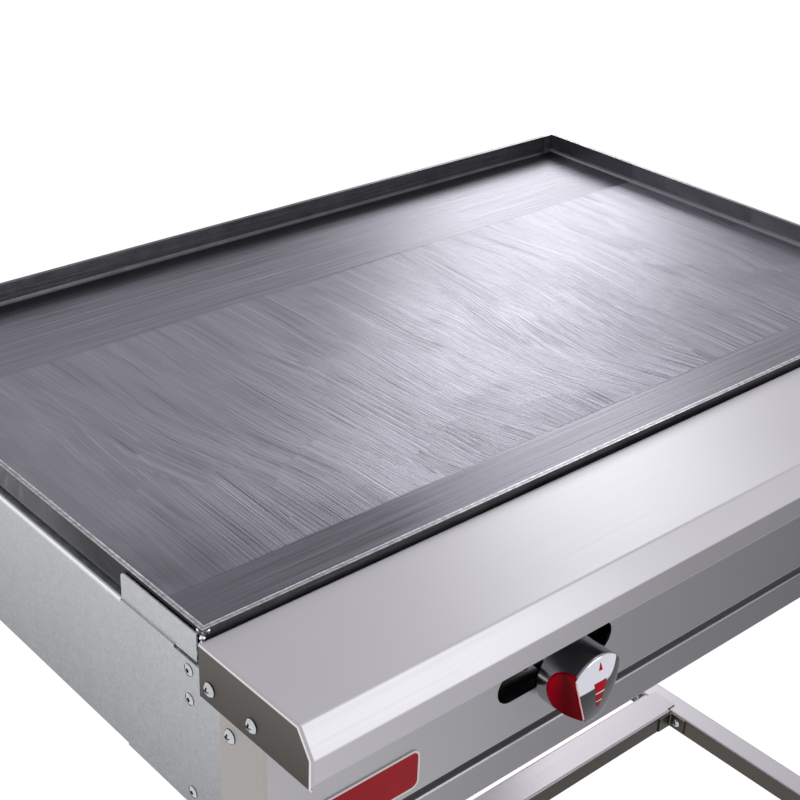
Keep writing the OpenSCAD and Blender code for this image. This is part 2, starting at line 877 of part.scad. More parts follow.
// Hexagon and threaded end where the gas hose is screwed on
module gas_inlet() {
    hex_len = 10;
    color("#b99a4b")
        translate([inlet_x, manifold_y, manifold_z - 22])
            mirror([0, 0, 1])
                difference() {
                    union() {
                        cylinder(r = 24 / sqrt(3), h = hex_len, $fn = 6);
                        cylinder(r = inlet_dia / 2, h = hex_len + inlet_len);
                    }
                    translate([0, 0, -1])
                        cylinder(r = inlet_dia / 2 - pipe_wall, h = hex_len + inlet_len + 2);
                }
}

// Folded straps that carry the manifold from the bulkhead
module manifold_brackets() {
    lip_y = manifold_y - pipe_dia / 2 - strap_t;
    color(galvanised)
        for (x = [-strap_x, strap_x, inlet_x - strap_end])
            along_x(strap_w, x)
                folded([[lip_y, strap_low_z + pipe_dia * 0.7], [lip_y, strap_low_z],
                    [bulkhead_y, strap_low_z], [bulkhead_y, strap_low_z + strap_h]], strap_t);
}

// Gas tap: bonnet, body, rear outlet, and a stub that sits on the manifold
module gas_tap(side) {
    r = tap_dia / 2;
    color("#c9b17a")
        on_side(side)
            translate([knob_x, 0, 0])
                difference() {
                    union() {
                        translate([0, 0, knob_z]) {
                            rod_y(12, bonnet_y, tap_y);
                            rod_y(r, tap_y, tap_back_y);
                            rod_y(8, tap_back_y, jet_y);
                        }
                        translate([0, manifold_y, manifold_z])
                            cylinder(r = 8, h = manifold_drop);
                    }
                    translate([0, 0, knob_z]) {
                        rod_y(seat_dia / 2, bonnet_y - 1, bonnet_y + seat_depth);
                        rod_y(spindle_dia / 2 + running_gap, bonnet_y, tap_back_y - 5);
                    }
                    translate([0, manifold_y, manifold_z])
                        rod_x(pipe_dia / 2, -20, 20);
                }
}
module gas_tap_left() { gas_tap("left"); }
module gas_tap_right() { gas_tap("right"); }

// Jet: a hexagon and a nozzle that enters the mixing tube
module injector(side) {
    color("#b99a4b")
        on_side(side)
            translate([knob_x, 0, knob_z])
                difference() {
                    union() {
                        translate([0, jet_y + jet_hex_len, 0])
                            rotate([90, 0, 0])
                                cylinder(r = 13 / sqrt(3), h = jet_hex_len, $fn = 6);
                        rod_y(4, jet_y, mixer_y + 6);
                    }
                    rod_y(0.7, jet_y - 1, mixer_y + 7);
                }
}
module injector_left() { injector("left"); }
module injector_right() { injector("right"); }

// Middles of the two long tubes of a burner
burner_offsets = [-burner_pitch / 2, burner_pitch / 2];
window_w = 12;
window_len = 14;

// Two opposite air windows in a round sleeve
module air_windows(angle) {
    rotate([0, angle, 0])
        translate([-mixer_dia, shutter_y + (shutter_len - window_len) / 2, -window_w / 2])
            cube([2 * mixer_dia, window_len, window_w]);
}

// The space of a burner at a given wall depth: mixing tube, header and two long tubes
module burner_form(depth) {
    r = burner_dia / 2 - depth;
    rod_y(mixer_dia / 2 - depth, mixer_y + depth, header_y);
    translate([0, header_y, 0])
        rod_x(r, burner_offsets[0], burner_offsets[1]);
    for (x = burner_offsets)
        translate([x, header_y, 0]) {
            sphere(r);
            rod_y(r, 0, burner_len - depth);
        }
}

// Tubular burner: ports in two rows along the top of each long tube
module burner(side) {
    ports = floor((burner_len - 60) / port_pitch);
    color("#5e5a58")
        on_side(side)
            translate([knob_x, 0, knob_z])
                difference() {
                    burner_form(0);
                    burner_form(burner_wall);
                    rod_y(4 + sheet_gap, mixer_y - 1, mixer_y + burner_wall + 1);
                    air_windows(0);
                    for (x = burner_offsets, lean = [-30, 30], i = [0:ports])
                        translate([x, header_y + 30 + i * port_pitch, 0])
                            rotate([0, lean, 0])
                                cylinder(r = port_dia / 2, h = burner_dia, $fn = 16);
                }
}
module burner_left() { burner("left"); }
module burner_right() { burner("right"); }

// Sleeve that turns on the mixing tube to open and close its air windows
module air_shutter(side) {
    sleeve_t = 1.2;
    inner = mixer_dia / 2 + running_gap;
    color(zinc)
        on_side(side)
            translate([knob_x, 0, knob_z])
                difference() {
                    rod_y(inner + sleeve_t, shutter_y, shutter_y + shutter_len);
                    rod_y(inner, shutter_y - 1, shutter_y + shutter_len + 1);
                    air_windows(0);
                }
}
module air_shutter_left() { air_shutter("left"); }
module air_shutter_right() { air_shutter("right"); }

// Washer in the bonnet. It slides in when the knob is pushed
module push_washer(side) {
    color(zinc)
        on_side(side)
            translate([knob_x, 0, knob_z])
                difference() {
                    rod_y(seat_dia / 2 - 0.4, washer_y, washer_y + washer_t);
                    rod_y(spindle_dia / 2 + running_gap, washer_y - 1, washer_y + washer_t + 1);
                }
}
module push_washer_left() { push_washer("left"); }
module push_washer_right() { push_washer("right"); }

// Tap spindle, with a flat for the knob and a collar that pushes the washer
module tap_spindle(side) {
    r = spindle_dia / 2;
    tip_y = knob_back_y - spindle_grip;
    color(zinc)
        on_side(side)
            translate([knob_x, 0, knob_z]) {
                difference() {
                    rod_y(r, tip_y, tap_back_y - 6 - push_travel);
                    translate([-r, tip_y - 1, r * 0.6])
                        cube([2 * r, spindle_grip + 1, r]);
                }
                rod_y(collar_dia / 2, washer_y - 0.1 - collar_t, washer_y - 0.1);
            }
}
module tap_spindle_left() { tap_spindle("left"); }
module tap_spindle_right() { tap_spindle("right"); }

// The two leaning cylinders that scoop out the sides of a knob, made larger by an allowance
module scoops(more) {
    for (side = [0, 1])
        mirror([side, 0, 0])
            translate([scoop_x, knob_face_y - 0.6, 0])
                rotate([-scoop_lean_back, scoop_lean_out, 0])
                    cylinder(r = scoop_r + more, h = 2 * knob_dia, center = true, $fn = 96);
}

// Outside of a knob: a drum with a rounded front edge
module knob_drum() {
    r = knob_dia / 2;
    round_r = 1.6;
    translate([0, knob_back_y, 0])
        rotate([90, 0, 0])
            rotate_extrude()
                polygon(concat([[0, 0], [r, 0]],
                    [for (k = [0:bend_steps]) [r - round_r, knob_len - round_r]
                        + turn([round_r, 0], 90 * k / bend_steps)],
                    [[0, knob_len]]));
}

// Moulded knob, scooped at both sides, hollow behind, with a hub on the spindle
module knob(side) {
    hub_r = 8;
    rim_wall = 4;
    hollow = 8;
    r = spindle_dia / 2 + running_gap;
    color("#d5d6da")
        on_side(side)
            translate([knob_x, 0, knob_z])
                difference() {
                    knob_drum();
                    scoops(inlay_t);
                    difference() {
                        rod_y(knob_dia / 2 - rim_wall, knob_back_y - hollow, knob_back_y + 1);
                        rod_y(hub_r, knob_back_y - hollow - 1, knob_back_y + 2);
                    }
                    difference() {
                        rod_y(r, knob_back_y - spindle_grip, knob_back_y + 1);
                        translate([-r, knob_back_y - spindle_grip, spindle_dia * 0.3 + running_gap])
                            cube([2 * r, spindle_grip + 2, r]);
                    }
                }
}
module knob_left() { knob("left"); }
module knob_right() { knob("right"); }

// Coloured inlays that line the scoops
module knob_inlays(side) {
    color("#a0061c")
        on_side(side)
            translate([knob_x, 0, knob_z])
                intersection() {
                    knob_drum();
                    difference() {
                        scoops(inlay_t);
                        scoops(0);
                    }
                }
}
module knob_inlays_left() { knob_inlays("left"); }
module knob_inlays_right() { knob_inlays("right"); }

module side_panel_left() { side_panel("left"); }
module side_panel_right() { side_panel("right"); }

griddle_plate();
front_shelf();
control_panel();
badge_plate();
front_rail();
rear_rail();
rear_panel();
side_panel_left();
side_panel_right();
bracket_front_left();
bracket_front_right();
bracket_rear_left();
bracket_rear_right();
leg_front_left();
leg_front_right();
leg_rear_left();
leg_rear_right();
front_bulkhead();
front_rest_rail();
rear_rest_rail();
burner_support_bar();
side_stretcher_left();
side_stretcher_right();
cross_stretcher();
stretcher_clips();
foot_sockets();
foot_pad_front_left();
foot_pad_front_right();
foot_pad_rear_left();
foot_pad_rear_right();
foot_stem_front_left();
foot_stem_front_right();
foot_stem_rear_left();
foot_stem_rear_right();
shelf_screws();
leg_screws();
panel_rivets();
stretcher_bolts();
manifold_pipe();
gas_inlet();
manifold_brackets();
gas_tap_left();
gas_tap_right();
injector_left();
injector_right();
burner_left();
burner_right();
air_shutter_left();
air_shutter_right();
push_washer_left();
push_washer_right();
tap_spindle_left();
tap_spindle_right();
knob_left();
knob_right();
knob_inlays_left();
knob_inlays_right();
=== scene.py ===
import math

import bmesh
import bpy
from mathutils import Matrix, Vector


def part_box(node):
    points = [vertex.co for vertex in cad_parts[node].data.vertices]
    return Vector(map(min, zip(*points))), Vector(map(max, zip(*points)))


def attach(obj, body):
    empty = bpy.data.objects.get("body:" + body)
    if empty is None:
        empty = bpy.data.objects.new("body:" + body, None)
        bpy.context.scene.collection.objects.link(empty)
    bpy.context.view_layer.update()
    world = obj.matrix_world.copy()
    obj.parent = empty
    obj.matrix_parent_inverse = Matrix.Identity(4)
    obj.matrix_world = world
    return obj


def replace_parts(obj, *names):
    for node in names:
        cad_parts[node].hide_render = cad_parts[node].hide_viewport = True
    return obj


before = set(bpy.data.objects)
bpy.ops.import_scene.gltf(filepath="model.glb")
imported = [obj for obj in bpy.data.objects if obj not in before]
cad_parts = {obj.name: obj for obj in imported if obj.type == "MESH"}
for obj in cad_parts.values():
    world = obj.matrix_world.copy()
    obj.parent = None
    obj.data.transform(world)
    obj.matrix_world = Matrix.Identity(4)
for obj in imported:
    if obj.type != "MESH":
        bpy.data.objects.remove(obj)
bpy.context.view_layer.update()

# Griddle plate
# One 4 mm steel sheet with a rim folded up on all four sides. The rim keeps the dark mill
# scale, and the cooking surface is ground bare with a hand grinder, front to back, between
# bands along the front and back that are finished crosswise. It lies loose between four ears.


def linear(hexed):
    """An sRGB hex colour as linear red, green, blue and alpha."""
    parts = [int(hexed[i:i + 2], 16) / 255 for i in (1, 3, 5)]
    return [p / 12.92 if p <= 0.04045 else ((p + 0.055) / 1.055) ** 2.4 for p in parts] + [1]


def put(tree, kind, sockets=None, **settings):
    """Adds a shader node with its settings, and a value or a link at each named or numbered socket.

    Gives the first output in use, or the node itself where it has none."""
    made = tree.nodes.new("ShaderNode" + kind)
    for key, value in settings.items():
        setattr(made, key, value)
    for key, value in (sockets or {}).items():
        socket = made.inputs[key] if isinstance(key, int) else next(
            s for s in made.inputs if s.enabled and s.name == key)
        if isinstance(value, bpy.types.NodeSocket):
            tree.links.new(value, socket)
        else:
            socket.default_value = value
    return next((s for s in made.outputs if s.enabled), made)


def surface(name, **sockets):
    """A new material, with its uniform values on the shader's own sockets.

    Gives the material, its tree, its shader and the place of a point on the object, in metres."""
    made = bpy.data.materials.new(name)
    made.use_nodes = True
    tree = made.node_tree
    shader = tree.nodes["Principled BSDF"]
    for socket, value in sockets.items():
        shader.inputs[socket.replace("_", " ")].default_value = value
    return made, tree, shader, put(tree, "TexCoord").node.outputs["Object"]


def finish(material, *nodes):
    """Gives CAD nodes a material."""
    for name in nodes:
        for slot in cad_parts[name].material_slots:
            slot.material = material


plate_low, plate_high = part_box("griddle_plate")
GROUND_FRONT, GROUND_BACK, GROUND_LEFT = -0.171, 0.181, -0.405
RIM_TOP, FLOOR_TOP = plate_high.z, 0.879
FRONT_WALL_Y, BACK_WALL_Y, WALL_X = -0.2, 0.3, 0.43

# Bare steel, hand ground: a dull purple-grey with long fine strokes that break up the light
ground_steel, tree, shader, place = surface("hand_ground_steel", Metallic=1.0, Anisotropic=0.75)
x, y, z = put(tree, "SeparateXYZ", {0: place}).node.outputs
normal = put(tree, "NewGeometry").node.outputs["Normal"]
facing = put(tree, "SeparateXYZ", {0: normal}).node.outputs


def grinding_pass(tree, place, offset, swing):
    """Strokes of one pass of the grinder: it works in long patches, each with its own direction."""
    bent = put(tree, "TexNoise", {"Vector": place, "Scale": 2.6, "Detail": 1.0})
    bent = put(tree, "CombineXYZ", {0: put(tree, "Math", {0: bent, 1: 0.06}, operation="MULTIPLY")})
    bent = put(tree, "VectorMath", {0: place, 1: bent}, operation="ADD")
    moved = put(tree, "VectorMath", {0: bent, 1: offset}, operation="ADD")
    frayed = put(tree, "TexNoise", {"Vector": put(
        tree, "VectorMath", {0: moved, 1: (45, 7, 0)}, operation="MULTIPLY"), "Scale": 1})
    frayed = put(tree, "CombineXYZ", {0: put(tree, "Math", {0: frayed, 1: 0.5}, operation="MULTIPLY")})
    patches = put(tree, "VectorMath", {0: moved, 1: (6, 2.6, 0)}, operation="MULTIPLY")
    patches = put(tree, "TexVoronoi", {"Vector": put(
        tree, "VectorMath", {0: patches, 1: frayed}, operation="ADD"), "Scale": 1.0})
    patch = put(tree, "SeparateColor", {0: patches.node.outputs["Color"]})
    angle = put(tree, "MapRange", {"Value": patch, "To Min": -swing, "To Max": swing})
    turned = put(tree, "VectorRotate", {"Vector": moved, "Angle": angle}, rotation_type="Z_AXIS")
    # Grit strokes are 0.2 mm wide; they are drawn 1 to 3 mm wide so that they show
    strokes = put(tree, "TexNoise", {"Vector": put(
        tree, "VectorMath", {0: turned, 1: (620, 5, 0)}, operation="MULTIPLY"),
        "Scale": 1, "Detail": 3, "Roughness": 0.65})
    sweeps = put(tree, "TexNoise", {"Vector": put(
        tree, "VectorMath", {0: turned, 1: (85, 3.0, 0)}, operation="MULTIPLY"),
        "Scale": 1, "Detail": 2})
    return strokes, sweeps, turned, patch.node.outputs[1]


first, first_sweep, turned, first_patch = grinding_pass(tree, place, (1.3, 0.4, 0), 0.1)
second, second_sweep, _, second_patch = grinding_pass(tree, place, (-2.1, 3.7, 0), 0.24)
over = put(tree, "MapRange", {
    "Value": put(tree, "TexNoise", {"Vector": place, "Scale": 8, "Detail": 3}),
    "From Min": 0.45, "From Max": 0.6})
strokes = put(tree, "Mix", {"Factor": over, "A": first, "B": second})
sweeps = put(tree, "Mix", {"Factor": over, "A": first_sweep, "B": second_sweep})
patches = put(tree, "Mix", {"Factor": over, "A": first_patch, "B": second_patch})
crosswise = put(tree, "TexNoise", {"Vector": put(
    tree, "VectorMath", {0: place, 1: (6, 340, 340)}, operation="MULTIPLY"),
    "Scale": 1, "Detail": 3, "Roughness": 0.6})
# Between the ground area and the bands along the front, the back and the left lie worn edges
wander = put(tree, "TexNoise", {"Vector": place, "Scale": 14, "Detail": 3})
worn_y = put(tree, "Math", {0: wander, 1: 0.004, 2: y}, operation="MULTIPLY_ADD")
worn_x = put(tree, "Math", {0: wander, 1: 0.06, 2: x}, operation="MULTIPLY_ADD")
after_front = put(tree, "MapRange", {
    "Value": worn_y, "From Min": GROUND_FRONT, "From Max": GROUND_FRONT + 0.003})
before_back = put(tree, "MapRange", {
    "Value": worn_y, "From Min": GROUND_BACK + 0.005, "From Max": GROUND_BACK})
past_left = put(tree, "MapRange", {
    "Value": worn_x, "From Min": GROUND_LEFT + 0.02, "From Max": GROUND_LEFT + 0.1})
lengthwise = put(tree, "Math", {0: after_front, 1: before_back}, operation="MULTIPLY")
grain = put(tree, "Mix", {"Factor": lengthwise, "A": crosswise, "B": strokes})
# The strip along the left wall is dull, and hardly shows its strokes
grain = put(tree, "Math", {0: grain, 1: 0.5}, operation="SUBTRACT")
shown = put(tree, "MapRange", {"Value": past_left, "To Min": 0.25})
# The last and coarsest passes were made in the middle of the front
worked = put(tree, "VectorMath", {0: place, 1: (0, -0.1, 0)}, operation="SUBTRACT")
worked = put(tree, "VectorMath", {0: worked, 1: (3.6, 6.5, 0)}, operation="MULTIPLY")
worked = put(tree, "VectorMath", {0: worked}, operation="LENGTH")
worked = put(tree, "MapRange", {"Value": worked, "From Min": 1.5, "From Max": 0.5})
worked = put(tree, "Math", {0: worked, 1: lengthwise}, operation="MULTIPLY")
shown = put(tree, "Math", {0: worked, 1: 2.7, 2: shown}, operation="MULTIPLY_ADD")
grain = put(tree, "Math", {0: grain, 1: shown, 2: 0.5}, operation="MULTIPLY_ADD")
# Single deeper scratches among the strokes, bright or dark, up to 200 mm long
scratches = put(tree, "TexNoise", {"Vector": put(
    tree, "VectorMath", {0: turned, 1: (300, 3.5, 0)}, operation="MULTIPLY"),
    "Scale": 1, "Detail": 2})
dark_scratches = put(tree, "MapRange", {
    "Value": scratches, "From Min": 0.64, "From Max": 0.72, "To Max": -0.4})
pale_scratches = put(tree, "MapRange", {
    "Value": scratches, "From Min": 0.37, "From Max": 0.3, "To Max": 0.3})
scratches = put(tree, "Math", {0: dark_scratches, 1: pale_scratches}, operation="ADD")
scratches = put(tree, "Math", {0: scratches, 1: past_left}, operation="MULTIPLY")
scratches = put(tree, "Math", {0: scratches, 1: lengthwise}, operation="MULTIPLY")
tone = put(tree, "MapRange", {
    "Value": grain, "From Min": 0.3, "From Max": 0.7, "To Min": 0.16, "To Max": 0.64}, clamp=False)
sweeps = put(tree, "MapRange", {
    "Value": sweeps, "From Min": 0.3, "From Max": 0.7, "To Min": 0.02, "To Max": 0.24})
# Each patch has its own tone, because the disc wears between passes
patches = put(tree, "MapRange", {"Value": patches, "To Min": -0.09, "To Max": 0.09})
uneven = put(tree, "Math", {0: worked, 1: 1.2, 2: 0.4}, operation="MULTIPLY_ADD")
patches = put(tree, "Math", {0: patches, 1: uneven}, operation="MULTIPLY")
sweeps = put(tree, "Math", {0: sweeps, 1: patches}, operation="ADD")
sweeps = put(tree, "Math", {0: sweeps, 1: lengthwise}, operation="MULTIPLY")
tone = put(tree, "Math", {0: tone, 1: sweeps}, operation="ADD")
tone = put(tree, "Math", {0: tone, 1: scratches}, operation="ADD")
# The front left corner is darker than the rest
darker_corner = put(tree, "Math", {
    0: put(tree, "MapRange", {"Value": y, "From Min": -0.07, "From Max": -0.15}),
    1: put(tree, "MapRange", {"Value": worn_x, "From Min": -0.17, "From Max": -0.215})},
    operation="MULTIPLY")
in_band = put(tree, "MapRange", {"Value": lengthwise, "To Min": -0.22, "To Max": -0.4})
tone = put(tree, "Math", {0: darker_corner, 1: in_band, 2: tone}, operation="MULTIPLY_ADD")
# Painted highlight: the ground area is painted paler at the right of those passes, where the soft box's
# highlight falls
painted_highlight = put(tree, "MapRange", {"Value": x, "From Min": -0.2, "From Max": 0.05})
painted_highlight = put(tree, "Math", {0: painted_highlight, 1: worked}, operation="MULTIPLY")
tone = put(tree, "Math", {0: painted_highlight, 1: 0.42, 2: tone}, operation="MULTIPLY_ADD")
tone = put(tree, "Clamp", {"Value": tone, "Min": -0.3, "Max": 1.8})
floor_colour = put(tree, "Mix", {
    "Factor": tone, "A": linear("#4e4c54"), "B": linear("#918f9a")}, data_type="RGBA",
    clamp_factor=False)
# The floor is darker along the back wall
darker_by_back_wall = put(tree, "MapRange", {
    "Value": worn_y, "From Min": 0.266, "From Max": 0.298}, interpolation_type="SMOOTHSTEP")
floor_colour = put(tree, "Mix", {
    "Factor": darker_by_back_wall, "A": floor_colour, "B": linear("#333237")}, data_type="RGBA")
# The folded rim keeps its mill scale; its top edge at the left and the front has painted highlights
scale_tone = put(tree, "TexNoise", {"Vector": place, "Scale": 60, "Detail": 4})
rim_colour = put(tree, "Mix", {
    "Factor": scale_tone, "A": linear("#454449"), "B": linear("#66656a")}, data_type="RGBA")
# Painted highlight: two fine bright lines along that edge, brightest on the inside, with a duller painted
# band between
at_front = put(tree, "Math", {0: y, 1: FRONT_WALL_Y}, operation="LESS_THAN")
at_left = put(tree, "Math", {0: x, 1: -WALL_X}, operation="LESS_THAN")
highlit_sides = put(tree, "Math", {0: at_front, 1: at_left}, operation="MAXIMUM")
across = put(tree, "Math", {
    0: put(tree, "Math", {0: x, 1: plate_low.x}, operation="SUBTRACT"),
    1: put(tree, "Math", {0: y, 1: plate_low.y}, operation="SUBTRACT")}, operation="MINIMUM")
inner_line = put(tree, "MapRange", {
    "Value": across, "From Min": 0.0024, "From Max": 0.0034, "To Max": 0.95})
outer_line = put(tree, "MapRange", {
    "Value": across, "From Min": 0.0014, "From Max": 0.0006, "To Max": 0.7})
edge = put(tree, "Math", {0: inner_line, 1: outer_line}, operation="MAXIMUM")
edge = put(tree, "Math", {0: edge, 1: 0.34}, operation="MAXIMUM")
chips = put(tree, "MapRange", {"Value": put(
    tree, "TexNoise", {"Vector": place, "Scale": 240, "Detail": 3}),
    "From Min": 0.36, "From Max": 0.6, "To Min": 0.5})
edge = put(tree, "Math", {0: edge, 1: chips}, operation="MULTIPLY")
at_top = put(tree, "Math", {0: z, 1: RIM_TOP - 0.0015}, operation="GREATER_THAN")
faces_up = put(tree, "Math", {0: facing[2], 1: 0.6}, operation="GREATER_THAN")
edge = put(tree, "Math", {0: edge, 1: at_top}, operation="MULTIPLY")
edge = put(tree, "Math", {0: edge, 1: faces_up}, operation="MULTIPLY")
edge = put(tree, "Math", {0: edge, 1: highlit_sides}, operation="MULTIPLY")
# The inside of the right wall catches the light of the room, and the back wall hardly does
at_right = put(tree, "Math", {0: x, 1: WALL_X}, operation="GREATER_THAN")
at_back = put(tree, "Math", {0: y, 1: BACK_WALL_Y}, operation="GREATER_THAN")
at_back = put(tree, "Math", {0: at_back, 1: 0.05}, operation="MULTIPLY")
lit_walls = put(tree, "Math", {0: at_right, 1: at_back}, operation="MAXIMUM")
rim_colour = put(tree, "Mix", {
    "Factor": lit_walls, "A": rim_colour, "B": linear("#78777d")}, data_type="RGBA")
# Towards the front, the outside of the left wall is darker
darker_towards_front = put(tree, "MapRange", {"Value": y, "From Min": -0.04, "From Max": -0.105})
outside = put(tree, "Math", {0: facing[0], 1: -0.5}, operation="LESS_THAN")
outside = put(tree, "Math", {0: outside, 1: at_left}, operation="MULTIPLY")
darker_towards_front = put(tree, "Math", {0: darker_towards_front, 1: outside}, operation="MULTIPLY")
rim_colour = put(tree, "Mix", {
    "Factor": darker_towards_front, "A": rim_colour, "B": linear("#29282c")}, data_type="RGBA")
rim_colour = put(tree, "Mix", {
    "Factor": edge, "A": rim_colour, "B": linear("#d2d1d8")}, data_type="RGBA")
is_floor = put(tree, "MapRange", {
    "Value": z, "From Min": FLOOR_TOP + 0.0016, "From Max": FLOOR_TOP + 0.0004})
is_floor = put(tree, "Math", {0: is_floor, 1: faces_up}, operation="MULTIPLY")
tree.links.new(put(tree, "Mix", {
    "Factor": is_floor, "A": rim_colour, "B": floor_colour}, data_type="RGBA"),
    shader.inputs["Base Color"])
tree.links.new(put(tree, "MapRange", {
    "Value": grain, "From Min": 0.3, "From Max": 0.7, "To Min": 0.3, "To Max": 0.46}),
    shader.inputs["Roughness"])
tree.links.new(put(tree, "Bump", {
    "Height": grain, "Distance": 0.0006, "Strength": 0.5}), shader.inputs["Normal"])
# Light spreads across the strokes: along X in the ground area, along Y in the bands
tree.links.new(put(tree, "Mix", {
    "Factor": lengthwise, "A": (0, 1, 0), "B": (1, 0, 0)}, data_type="VECTOR"),
    shader.inputs["Tangent"])
finish(ground_steel, "griddle_plate")

# Welded corners of the griddle plate
# The rim is cut at each corner and closed with a short bead of weld from the outside,
# dressed by hand, so that it stands a little proud and has bright ground spots.


def lump(mesh, centre, radii):
    """Adds a blob of set weld metal: a sphere that is squashed and uneven."""
    uneven = 0.12
    made = bmesh.ops.create_icosphere(mesh, subdivisions=3, radius=1)["verts"]
    for v in made:
        wave = math.sin(7.3 * v.co.x + 2.1) * math.cos(6.1 * v.co.y) * math.sin(5.7 * v.co.z + 0.7)
        v.co *= 1 + uneven * wave
        v.co = Vector(centre) + Vector(a * b for a, b in zip(v.co, radii))


def as_piece(name, mesh, material, body="frame", smooth=True):
    """Turns a mesh under construction into a piece of the object that rides on a body.

    Where smooth is None, each face keeps the shading it was made with."""
    data = bpy.data.meshes.new(name)
    bmesh.ops.recalc_face_normals(mesh, faces=mesh.faces[:])
    mesh.to_mesh(data)
    mesh.free()
    for each in material if isinstance(material, tuple) else (material,):
        data.materials.append(each)
    if smooth is not None:
        for face in data.polygons:
            face.use_smooth = smooth
    made = bpy.data.objects.new(name, data)
    bpy.context.scene.collection.objects.link(made)
    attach(made, body)
    return made


# Weld metal, set in ripples and dressed: bright where the disc touched it
weld_steel, tree, shader, place = surface("dressed_weld_steel", Metallic=1.0, Roughness=0.3)
set_metal = put(tree, "TexNoise", {"Vector": place, "Scale": 340, "Detail": 3})
tree.links.new(put(tree, "ValToRGB", {"Fac": set_metal}), shader.inputs["Base Color"])
ramp = tree.nodes["Color Ramp"].color_ramp
ramp.elements[0].position, ramp.elements[1].position = 0.42, 0.56
ramp.elements[0].color, ramp.elements[1].color = linear("#4a494e"), linear("#f2f2f5")

# Each bead is built of ripples, and ends in lumps along the tops of both rims
WELD_LOW, RIPPLES, RIPPLE_STEP, RIPPLE_R, RIPPLE_H = 0.8772, 8, 0.0027, 0.0021, 0.0019
WELD_INSET, RIM_INSET, TOP_LUMP_Z, TOP_LUMP_H = 0.0011, 0.0016, 0.8976, 0.0021
# Distance from the corner, and radius, of each lump
TOP_LUMPS = ((0.0012, 0.0028), (0.0052, 0.0023), (0.0088, 0.0015))
beads = bmesh.new()
for sx in (-1, 1):
    for end in (0, 1):
        corner_x = sx * plate_high.x
        corner_y = plate_high.y if end else plate_low.y
        inward = Vector((-sx, -1 if end else 1, 0)) * WELD_INSET
        for step in range(RIPPLES):
            height = WELD_LOW + RIPPLE_STEP * step
            size = RIPPLE_R + 0.0005 * math.sin(2.4 * step + sx + end)
            lump(beads, Vector((corner_x, corner_y, height)) + inward, (size, size, RIPPLE_H))
        for k, (along, reach) in enumerate(TOP_LUMPS):
            height = TOP_LUMP_Z - 0.0004 * k
            for dx, dy in ((along, RIM_INSET), (RIM_INSET, along)):
                lump(beads, (corner_x - sx * dx, corner_y + (-dy if end else dy), height),
                    (reach, reach, TOP_LUMP_H))
as_piece("plate_corner_welds", beads, weld_steel)
